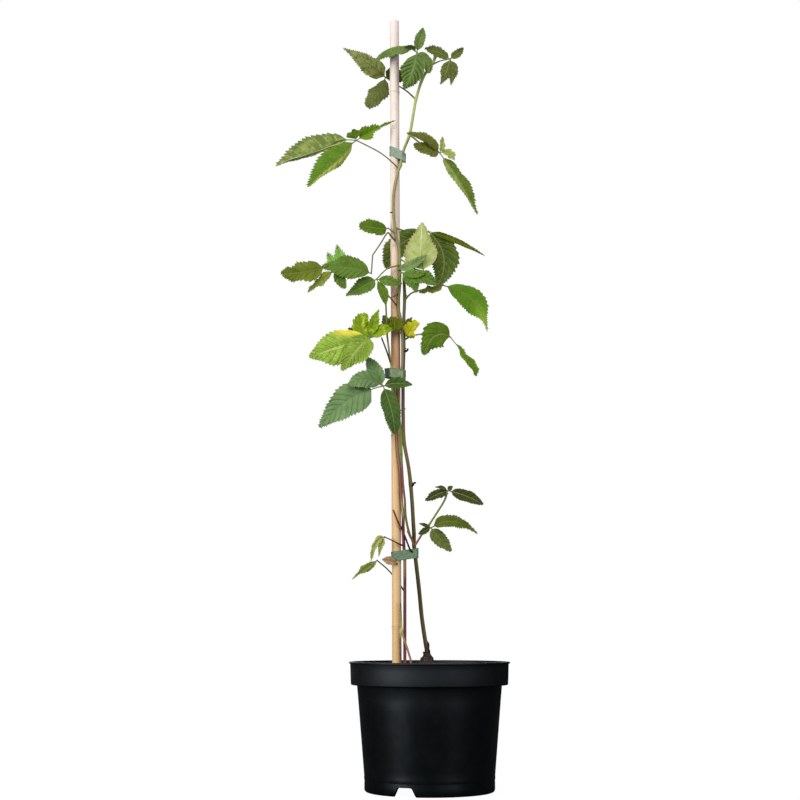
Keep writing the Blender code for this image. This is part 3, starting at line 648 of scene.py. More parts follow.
def make_pot():
    """The pot: a spun shell, faint ribs round its foot, and notches cut through."""
    work = spun(pot_profile(), POT_SEGMENTS)
    for vert in work.verts:
        height, radius = vert.co.z / MM, vert.co.xy.length / MM
        if 2.0 < height < 14.0 and radius > 76.0:
            turn = round(math.atan2(vert.co.y, vert.co.x) / math.tau * POT_SEGMENTS)
            vert.co.xy *= 1.0 + (POT_RIB if turn % 2 else -POT_RIB) / radius
    shell = bpy.data.objects.new("pot_shell", meshed(work, "pot"))
    cutters = [notch_cutter(NOTCH_FIRST_ANGLE + index * math.tau / NOTCH_COUNT)
               for index in range(NOTCH_COUNT)]
    for cutter in cutters:
        scene.collection.objects.link(cutter)
        cut = shell.modifiers.new("Cut", "BOOLEAN")
        cut.operation = "DIFFERENCE"
        cut.solver = "EXACT"
        cut.object = cutter
    cut_mesh = evaluated(shell)
    for cutter in cutters:
        bpy.data.objects.remove(cutter, do_unlink=True)
    work = bmesh.new()
    work.from_mesh(cut_mesh)
    bmesh.ops.remove_doubles(work, verts=work.verts, dist=1e-6)
    finish_piece(work, "pot_shell", "pot", [pot_finish()], 30.0)


# ---------------------------------------------------------------- compost

COMPOST_TOP = 132.0
COMPOST_RADIUS = 90.5
COMPOST_FLOOR = 13.6
COMPOST_SEED = 11
CRUMBS = 520
CRUMB_REACH = 89.0
CRUMB_SIZES = (0.8, 2.6)
LUMP_EVERY = 6  # one crumb in so many is a lump
LUMP_SIZES = (2.6, 4.2)
BITS = 150
BIT_REACH = 84.0
BIT_THICKNESS = 0.7
STRAW_EVERY = 3  # one bit in so many is straw, and the others are bark
STRAW_SIZES = ((7.0, 15.0), (0.5, 1.0))  # ranges of length and of width
BARK_SIZES = ((3.0, 8.0), (1.5, 3.4))


def disc_spot(draw, reach):
    """A random place in a disc, as x and y."""
    radius, angle = reach * math.sqrt(draw.random()), draw.uniform(0.0, math.tau)
    return radius * math.cos(angle), radius * math.sin(angle)


def tumble(draw, low, high, axis):
    """A random turn: tipped about an axis, then turned about Z."""
    turn = Matrix.Rotation(draw.uniform(0, 6.28), 3, "Z")
    return turn @ Matrix.Rotation(draw.uniform(low, high), 3, axis)


def add_crumb(work, draw, sizes):
    """Press a crumb of compost into the top."""
    x, y = disc_spot(draw, CRUMB_REACH)
    made = bmesh.ops.create_icosphere(work, subdivisions=1, radius=draw.uniform(*sizes) * MM)
    turn = tumble(draw, 0, 3.1, "X")
    for vert in made["verts"]:
        vert.co *= draw.uniform(0.7, 1.2)
    bmesh.ops.scale(work, vec=(1.0, draw.uniform(0.6, 1.0), draw.uniform(0.45, 0.8)), verts=made["verts"])
    set_down(work, made["verts"], (x, y, COMPOST_TOP - 0.6), turn)


def add_bit(work, draw, straw):
    """Lay a flat bit of bark or straw on the top."""
    x, y = disc_spot(draw, BIT_REACH)
    made = bmesh.ops.create_cube(work, size=MM)
    length, width = [draw.uniform(*sizes) for sizes in (STRAW_SIZES if straw else BARK_SIZES)]
    for face in {face for vert in made["verts"] for face in vert.link_faces}:
        face.material_index = 2 if straw else 1
    bmesh.ops.scale(work, vec=(length, width, BIT_THICKNESS), verts=made["verts"])
    edges = list({edge for vert in made["verts"] for edge in vert.link_edges})
    bevelled = bmesh.ops.bevel(work, geom=edges, offset=0.22 * MM, segments=1, profile=0.5,
                               affect="EDGES", material=-1)
    turn = tumble(draw, -0.3, 0.3, "Y")
    set_down(work, bevelled["verts"], (x, y, COMPOST_TOP + draw.uniform(0.2, 1.2)), turn)


def make_compost():
    """Crumbly compost: an uneven top with crumbs, bits of bark and straw pressed into it."""
    draw = random.Random(COMPOST_SEED)
    reaches = [0.0, *(2.5 * step for step in range(1, 36)), 89.2, 90.4]
    rings = [(radius, COMPOST_TOP - 1.5 * (radius / 90.0) ** 2) for radius in reaches]
    side = [(COMPOST_RADIUS, 128.0), (88.0, 126.6), (83.0, 121.0), (80.0, 80.0), (76.0, 40.0),
            (74.2, 17.5), (71.3, COMPOST_FLOOR), (0.0, COMPOST_FLOOR)]
    work = spun([*rings, *side], POT_SEGMENTS)
    for vert in work.verts:
        height, radius = vert.co.z / MM, vert.co.xy.length / MM
        if height > 129.0 and radius < 90.0:
            lumps = noise.noise(vert.co * 60.0) * 1.6 + noise.noise(vert.co * 220.0) * 1.2
            lumps += noise.noise(vert.co * 600.0) * 0.6
            vert.co.z += lumps * MM * soft_step(COMPOST_RADIUS - radius, 0.0, 3.0) - 0.8 * MM
    for index in range(CRUMBS):
        add_crumb(work, draw, CRUMB_SIZES if index % LUMP_EVERY else LUMP_SIZES)
    for index in range(BITS):
        add_bit(work, draw, index % STRAW_EVERY == 0)
    finishes = [compost_finish(), wood_bit_finish("bark_bits", "#2a1b12", "#6a4b33"),
                wood_bit_finish("straw_bits", "#7a6344", "#b59c74")]
    finish_piece(work, "compost_top", "compost", finishes, 50.0)


# ---------------------------------------------------------------- bamboo cane

STAKE_LENGTH = 898.0
STAKE_TOP = 939.0
STAKE_BOTTOM_RADIUS = 5.5
STAKE_TOP_RADIUS = 5.8
STAKE_FOOT = Vector((-37.9, 0.0, STAKE_TOP - STAKE_LENGTH))
STAKE_HEAD = Vector((-41.8, 0.0, STAKE_TOP))
STAKE_NODES = (150.0, 377.0, 610.0, 806.0)
STAKE_SEGMENTS = 28
STAKE_BORE_DEPTH = 9.0
RING_SWELL = 0.45
RING_HEIGHT = 3.0
GROOVE_DEPTH = 0.3
GROOVE_HEIGHT = 0.5
GROOVE_RISE = 1.2  # how far the groove is above the ring


def stake_radius(height):
    """The cane's radius at a height above its foot: a swelling and a fine groove at each ring."""
    radius = STAKE_BOTTOM_RADIUS + (STAKE_TOP_RADIUS - STAKE_BOTTOM_RADIUS) * height / STAKE_LENGTH
    for ring in STAKE_NODES:
        radius += RING_SWELL * math.exp(-((height - ring) / RING_HEIGHT) ** 2)
        radius -= GROOVE_DEPTH * math.exp(-((height - ring - GROOVE_RISE) / GROOVE_HEIGHT) ** 2)
    return radius


def make_stake():
    """The bamboo cane: rings, slightly uneven sides and a hollow sawn top."""
    heights = {0.6, 1.5, STAKE_LENGTH - 0.5} | {20.0 * step for step in range(1, 45)}
    for ring in STAKE_NODES:
        heights |= {ring + offset for offset in (-8, -5, -3, -1.5, 0, 0.6, 1.2, 1.8, 2.6, 4, 6, 9)}
    top = STAKE_LENGTH
    profile = [(0.0, top - STAKE_BORE_DEPTH), (1.6, top - STAKE_BORE_DEPTH), (2.0, top - 8.0),
               (2.2, top - 0.4), (2.4, top), (STAKE_TOP_RADIUS - 0.4, top)]
    profile += [(stake_radius(height), height) for height in sorted(heights, reverse=True)]
    profile += [(STAKE_BOTTOM_RADIUS - 0.5, 0.0), (0.0, 0.0)]
    work = spun(profile, STAKE_SEGMENTS)
    for vert in work.verts:
        wave = noise.noise(Vector((vert.co.x * 90.0, vert.co.y * 90.0, vert.co.z * 9.0)))
        if vert.co.xy.length > 3.0 * MM:
            vert.co.xy *= 1.0 + 0.022 * wave
    work.normal_update()
    for face in work.faces:
        middle = face.calc_center_median()
        inside = middle.z > (top - 12.0) * MM and middle.xy.length < 5.4 * MM
        face.material_index = 1 if inside else 0
    lean = Vector((0.0, 0.0, 1.0)).rotation_difference(STAKE_HEAD - STAKE_FOOT).to_matrix()
    set_down(work, work.verts, STAKE_FOOT, lean)
    finish_piece(work, "bamboo_cane", "bamboo_stake", [bamboo_finish(), cut_finish()], 50.0)


# ---------------------------------------------------------------- root crown

CROWN_PLACE = Vector((-2.6, 0.0, 0.0))
CROWN_SEGMENTS = 36
CROWN_PROFILE = (  # radius and height, from the top down
    (2.6, 171), (2.8, 165), (3.6, 160), (5.0, 157), (7.0, 154), (8.7, 151), (9.8, 148), (11.0, 144),
    (12.0, 139), (12.5, 133), (10.5, 126), (6.0, 118))
CROWN_STUBS = (  # start, end, and the radius at each
    ((-4, -2, 154), (-6.8, -3.5, 160.5), 1.5, 1.3),
    ((-2.5, -3, 155), (-1.5, -4, 168.5), 1.5, 0.9),
    ((-6, -4, 143), (-10, -7, 149), 2.2, 1.6),
    ((3, 5, 143), (6, 8, 149), 2.2, 1.5),
    ((-6, 6, 143), (-9, 9, 148), 1.8, 1.2),
)


def make_crown():
    """The root crown: a knobbly mound with the stubs of old canes."""
    work = spun([(0.0, 175.0), *CROWN_PROFILE, (0.0, 117.0)], CROWN_SEGMENTS)
    bmesh.ops.subdivide_edges(work, edges=work.edges, cuts=1, use_grid_fill=True)
    bmesh.ops.translate(work, vec=CROWN_PLACE * MM, verts=work.verts)
    for start, end, low, high in CROWN_STUBS:
        start, end = Vector(start), Vector(end)
        points = (start, start.lerp(end, 0.5), end, end + (end - start).normalized() * 0.5)
        add_tubes(work, [(points, (low, (low + high) / 2, high, high * 0.6))], sides=3)
    work.normal_update()
    for vert in work.verts:
        bump = noise.noise(vert.co * 240.0) * 1.3 + noise.noise(vert.co * 700.0) * 0.6
        if vert.co.z > 120.0 * MM:
            vert.co += vert.normal * bump * MM
    finish_piece(work, "root_crown_bark", "root_crown", [bark_finish()], 60.0)


# ---------------------------------------------------------------- stems

# Each stem has its route from the compost up, with the radius at the bottom and at the top; its twigs, which
# are one piece with it, with their radii; its knots, the leaf scars that swell it, each with its height and
# the way that the bud there points; and its colours, as shares of the span of heights that they cover.
# "sides" holds the colours that its left and right sides turn to low down: painted shade and painted light
# by which way the surface faces; "twig_colours" holds the colours of its twigs.
STEMS = {
    "cane_tall": {
        "slot": "cane", "radii": (1.9, 1.75),
        "route": [(-29, -6, 112), (-29, -6, 140), (-29, -6, 175), (-29, -5, 222), (-29, -4, 267),
            (-30, -4, 284), (-31, -4, 305), (-31, -5, 321), (-33, -6, 340), (-34, -7, 358), (-35, -8, 376),
            (-37.5, -8.5, 394), (-39, -9, 418), (-38, -9, 448), (-37.5, -9, 473), (-34.5, -9, 488),
            (-31.8, -9, 502), (-31.6, -8.5, 522), (-32, -8.5, 540), (-34, -8.5, 560), (-37, -8.5, 576),
            (-35, -8.5, 602), (-35, -8.5, 633), (-36, -9, 649), (-40, -9, 664), (-43, -9, 695),
            (-42, -9, 719), (-37, -8.5, 744), (-34, -8, 752), (-30, -6, 772), (-23, -4, 791),
            (-18.8, -3, 815), (-14.8, -2, 838), (-7.5, -2, 862), (-1, -2, 874), (6, -2, 884), (9, -2, 892)],
        "twigs": [
            ([(-37, -8.5, 574), (-42, -11, 580), (-50, -12, 589)], 1.2, 0.7),
            ([(-35, -8.5, 592), (-40, -11, 588), (-46, -12, 585)], 0.9, 0.5),
            ([(-30, -4, 302), (-36.3, -9, 312.5), (-42.8, -11, 328.5)], 1.3, 0.9),
            ([(-43, -9, 692), (-47, -11, 691)], 1.2, 0.6)],
        "knots": [(304, (-1, -0.3, 0.4)), (348, (-1, -1, 0.5)), (576, (-1, -0.6, 0.5)),
            (664, (-1, -0.4, 0.6)), (750, (1, -0.5, 0.6)), (791, (1, -0.2, 0.8)), (840, (-1, -0.3, 0.6)),
            (862, (-0.6, -0.8, 0.8)), (891, (0.2, -0.3, 1.0))],
        "span": (130, 892),
        "stops": [(0.0, "#84405c"), (0.045, "#84485a"), (0.07, "#6c3644"), (0.15, "#4e1c2a"),
            (0.165, "#886238"), (0.19, "#86623a"), (0.2, "#5e2430"), (0.235, "#5c2832"), (0.245, "#6a4430"),
            (0.257, "#a8a672"), (0.268, "#9a9468"), (0.28, "#865a3c"), (0.31, "#84583a"), (0.34, "#8e7254"),
            (0.41, "#866a4c"), (0.43, "#5c3c2a"), (0.45, "#7a684c"), (0.55, "#716a40"), (0.6, "#6c7038"),
            (0.66, "#7a7c48"), (0.78, "#8c8258"), (0.86, "#949a5c"), (0.92, "#a6ab6a"), (1.0, "#b2b876")],
        "sides": ("#5e3420", "#6e4440"),
        "twig_colours": ("#5a2c12", "#2c120a"),
    },
    "cane_right": {
        "slot": "cane", "radii": (2.6, 2.0),
        "route": [(-2.6, 0, 161), (-5, 0, 175), (-9, -1, 203), (-12, -2, 234), (-16, -3, 269),
            (-18, -3, 287), (-18, -3, 299), (-19, -3, 317), (-20, -3, 335), (-22, -3, 360), (-24, -3, 377),
            (-26, -3, 389), (-30, -3, 413), (-31, -3, 449), (-31, -3, 467), (-31, -3, 492), (-30, -2, 523),
            (-30, -2, 535), (-30, -2, 561), (-29, -2, 588), (-30, -2, 612)],
        "twigs": [
            ([(-18, -3, 277), (-22.5, -8.5, 281), (-27, -8, 292), (-29.5, -4.5, 299)], 1.1, 1.1),
            ([(-21.5, -3, 356), (-19, -6, 358.5), (-17.4, -7, 361), (-15.5, -7, 360.5)], 1.3, 0.9),
            ([(-29, -3, 520.5), (-26, -5, 521.5), (-25, -5.5, 524)], 1.6, 1.0)],
        "knots": [(287, (1, -0.6, 0.4)), (360, (1, -0.6, 0.3)), (445, (1, -0.4, 0.8)), (521, (1, -0.8, 0.4)),
            (586, (1, -0.5, 0.8))],
        "span": (160, 612),
        "stops": [(0.0, "#42241e"), (0.06, "#493a2a"), (0.11, "#3a3418"), (0.15, "#2e240e"),
            (0.22, "#3e3412"), (0.3, "#403a14"), (0.38, "#524a26"), (0.46, "#5e5434"), (0.56, "#6e5e3e"),
            (0.62, "#70594a"), (0.7, "#60483a"), (0.745, "#402a20"), (0.78, "#4a3628"), (0.81, "#6e6250"),
            (0.92, "#66603c"), (1.0, "#6a6e3a")],
        "sides": ("#1e0e04", "#6a7440"),
        "twig_colours": ("#1c120e", "#120c0a"),
    },
    "cane_thin": {
        "slot": "green_stem", "radii": (1.45, 1.1),
        "route": [(-18, -3, 283), (-20, -6, 292), (-24, -8, 301), (-28, -9, 321), (-29, -10, 340),
            (-31, -11, 358), (-32, -12, 376), (-33, -13, 394), (-33, -13, 418), (-36, -13.5, 442),
            (-39, -14, 460), (-43, -13.5, 478), (-45, -12.5, 499), (-50, -11, 537), (-51, -10, 558),
            (-52, -9, 580)],
        "twigs": [
            ([(-46, -12.5, 505), (-51, -13.5, 520), (-57, -12, 536)], 1.1, 0.9)],
        "knots": [(301, (-1, -0.4, 0.6)), (394, (-1, -0.8, 0.6)), (478, (-1, -0.8, 0.5))],
        "span": (283, 580),
        "stops": [(0.0, "#84504a"), (0.05, "#6e4a34"), (0.1, "#565a26"), (0.2, "#6a5434"), (0.25, "#6c4644"),
            (0.33, "#6a4650"), (0.37, "#5c7424"), (0.46, "#66822a"), (0.6, "#6e7a2c"), (0.75, "#78842a"),
            (0.86, "#7c7a40"), (1.0, "#6c7038")],
        "twig_colours": ("#4e1e18", "#24100c"),
    },
    "side_shoot": {
        "slot": "green_stem", "radii": (1.4, 1.1),
        "route": [(-18, -3, 285), (-14, -5, 291), (-9, -6, 299), (-2, -7, 308), (6, -9, 320), (18, -12, 339),
            (21, -13, 349)],
        "knots": [(308, (-1, -0.6, 0.8)), (346, (1, -0.4, 0.4))],
        "span": (285, 349),
        "stops": [(0.0, "#84544c"), (0.25, "#86685a"), (0.4, "#74703c"), (0.85, "#647632"),
            (1.0, "#84705a")],
    },
    "base_shoot": {
        "slot": "young_wood", "radii": (1.4, 0.9),
        "route": [(-34, -13, 112), (-34, -12, 140), (-34, -11, 183), (-33, -10.5, 190), (-34, -10, 218)],
        "twigs": [
            ([(-21.5, -14, 112), (-22, -14, 148), (-24, -13.5, 158), (-28, -12.5, 171), (-31, -12, 179),
              (-33, -11, 190)], 1.3, 1.2)],
        "knots": [(187, (1, -0.6, 0.8))],
        "span": (130, 218),
        "stops": [(0.0, "#8c4434"), (0.2, "#844a30"), (0.26, "#4e3822"), (0.52, "#5a4a2c"),
            (0.64, "#a0a05e"), (0.8, "#7c7a44"), (1.0, "#463a24")],
    },
}

KNOT_SWELL = 0.32
KNOT_HEIGHT = 3.2
BUD_SIZE = (0.8, 0.8, 1.5)
STEM_SPAN = 4  # points of the smooth curve to each span of a stem
FORK_COLOURS = [(0.0, "#8c4640"), (0.2, "#8e5848"), (0.36, "#866048"), (0.55, "#8c744c"), (0.7, "#9a9a5c")]


def taper(steps, start, end):
    """Radii that go evenly from a start to an end."""
    return [start + (end - start) * step / (steps - 1) for step in range(steps)]


def make_stem(name, stem):
    """A stem: a tapered round tube, swollen at the leaf scars, with its twigs and buds."""
    route = smooth_route(stem["route"], STEM_SPAN)
    radii = taper(len(route), *stem["radii"])
    for index, place in enumerate(route):
        for height, _ in stem["knots"]:
            radii[index] += KNOT_SWELL * math.exp(-((place.z - height) / KNOT_HEIGHT) ** 2)
        radii[index] *= 1.0 + 0.05 * noise.noise(place * 0.12)
    work = bmesh.new()
    add_tubes(work, [(route, radii)], sides=3)
    twigs = [(smooth_route(twig, STEM_SPAN), ends) for twig, *ends in stem.get("twigs", [])]
    if twigs:
        add_tubes(work, [(line, taper(len(line), *ends)) for line, ends in twigs], 1)
    for height, way in stem["knots"]:
        index = min(range(len(route)), key=lambda step: abs(route[step].z - height))
        way = Vector(way).normalized()
        turn = way.to_track_quat("Z", "Y").to_matrix()
        add_ball(work, route[index] + way * (radii[index] + 0.3), BUD_SIZE, turn, rings=5)
    work.normal_update()
    # The way each vert faces, which the stem's finish reads to paint shade and light on its sides.
    layer = work.verts.layers.float_vector.new("way")
    for vert in work.verts:
        vert[layer] = vert.normal
    finishes = [stem_finish(f"{name}_skin", *stem["span"], stem["stops"], sides=stem.get("sides"))]
    if "twig_colours" in stem:
        finishes.append(stalk_finish(*stem["twig_colours"]))
    elif twigs:
        finishes.append(stem_finish(f"{name}_fork", *stem["span"], FORK_COLOURS))
    finish_piece(work, f"{name}_stem", name, finishes)


# ---------------------------------------------------------------- tapes

TAPE_HEIGHT = 11.5
TAPE_THICKNESS = 0.6
TAPE_GAP = 0.25
TAPE_STEPS = 96
TAPE_ROWS = 6
TAPES = {  # height, tilt, stems held, the middle and radius of a slack bight, and the two colours
    "tie_top": (765.5, -0.55, ("bamboo_stake", "cane_tall"), [], ("#6d8070", "#829583")),
    "tie_middle": (492.5, -0.1, ("bamboo_stake", "cane_tall", "cane_right", "cane_thin"),
                   [(Vector((-50.5, -3.0, 492.5)), 1.8)], ("#5f7053", "#768a68")),
    "tie_bottom": (275.5, 0.13, ("bamboo_stake", "cane_tall", "cane_right"), [], ("#4f634c", "#647a62")),
}


def stem_point(name, height):
    """A stem's centre and radius at a height."""
    if name == "bamboo_stake":
        share = (height - STAKE_FOOT.z) / (STAKE_HEAD.z - STAKE_FOOT.z)
        return STAKE_FOOT.lerp(STAKE_HEAD, share), stake_radius(height - STAKE_FOOT.z)
    route = [Vector(point) for point in STEMS[name]["route"]]
    low, high = STEMS[name]["radii"]
    for index, (start, end) in enumerate(zip(route, route[1:])):
        if start.z <= height <= end.z:
            share = index / (len(route) - 1)
            return start.lerp(end, (height - start.z) / (end.z - start.z)), low + (high - low) * share
    return route[-1], high


def ring_rows(work, steps, rows):
    """Add a round closed band to a bmesh: rows of its verts, each with its way out from the middle."""
    bmesh.ops.create_circle(work, segments=steps, radius=1.0)
    result = [{vert: vert.co.normalized() for vert in work.verts}]
    first = edges = work.edges[:]
    for _ in range(rows - 1):
        made = bmesh.ops.extrude_edge_only(work, edges=edges)["geom"]
        new_verts = [item for item in made if isinstance(item, bmesh.types.BMVert)]
        edges = [item for item in made if isinstance(item, bmesh.types.BMEdge)
                 and all(vert in new_verts for vert in item.verts)]
        result.append({vert: vert.co.normalized() for vert in new_verts})
    bmesh.ops.bridge_loops(work, edges=first + edges)
    return result


def make_tape(name, height, tilt, held, slack, colours):
    """A band of tape stretched round the cane and its stems, with soft creases and rolled edges."""
    rounds = [stem_point(stem, height + side * TAPE_HEIGHT / 2) for stem in held for side in (-1, 0, 1)]
    rounds += slack
    middle = sum((place.x for place, _ in rounds), 0.0) / len(rounds)
    work = bmesh.new()
    last = 2 * TAPE_ROWS + 1
    for row, ring in enumerate(ring_rows(work, TAPE_STEPS, last + 1)):
        inner = row > TAPE_ROWS
        level = 1.0 - 2.0 * (last - row if inner else row) / TAPE_ROWS
        for vert, way in ring.items():
            place, radius = max(rounds, key=lambda item: item[0].dot(way) + item[1])
            edge = Vector((place.x, place.y, 0.0)) + way * (radius + TAPE_GAP)
            crease = noise.noise(Vector((way.x * 2.2, way.y * 2.2, level * 1.4 + height)))
            edge += way * (0.5 * crease + 0.16 * level * level + (0.0 if inner else TAPE_THICKNESS))
            drop = 0.5 * noise.noise(Vector((way.x * 1.7, way.y * 1.7, height)))
            vert.co = Vector((edge.x, edge.y, height + level * TAPE_HEIGHT / 2 + drop
                              + tilt * (edge.x - middle))) * MM
    bmesh.ops.recalc_face_normals(work, faces=work.faces)
    finish_piece(work, f"{name}_tape", name, [tape_finish(f"{name}_green", *colours)])


# ---------------------------------------------------------------- leaves

# Which way the upper side of a leaflet faces.
FRONT = (0, -1, 0.15)
FRONT_UP = (0, -0.7, 0.7)
UP = (0, -0.25, 1)
BACK = (0, 1, 0.1)
RIGHT_FRONT = (0.7, -0.7, 0.1)

USUAL_LEAFLET = {
    "start": None,  # where the midrib starts, if not at the stalk's end
    "facing": FRONT,
    "fold": 0.15,  # how far the two halves fold up, or down
    "stalk": 0.05,  # the share of the midrib that is the leaflet's own stalk
    "bare": None,  # the share that has no blade, if not the stalk's
    "tail": 0.15,  # how far the tip is drawn out
    "widest": 0.82,  # where the blade is widest
    "full": 0.72,  # how full the outline is
    "off": 0.0,  # how far the midrib is to one side
    "teeth": 1.0,  # the size of the teeth
    "curl": 0.08,  # how far the edges curl
    "wave": 1.4,  # how far they wave
    "ragged": 0.06,  # how far the outline bulges
    "pleat": 0.6,  # the depth of the pleats
    "wide": 1.0,  # how wide the blade is against its plain width
}


def leaflet(look, middle, tip, width, **own):
    """A leaflet: its look, its midrib's middle and tip, its plain width, and what isn't usual about it."""
    made = SimpleNamespace(look=look, middle=Vector(middle), tip=Vector(tip), width=width,
                           **{**USUAL_LEAFLET, **own})
    made.facing = Vector(made.facing)
    if made.bare is None:
        made.bare = made.stalk
    return made


def leaf(slot, route, leaflets, stalk_colours=("#6c7c3a", "#5c5230")):
    """A compound leaf: its slot, which is not used, its stalk's route out of its stem, its leaflets and its
    stalk's colours.
    """
    for each in leaflets:
        each.start = Vector(each.start or route[-1])
    return slot, route, leaflets, stalk_colours


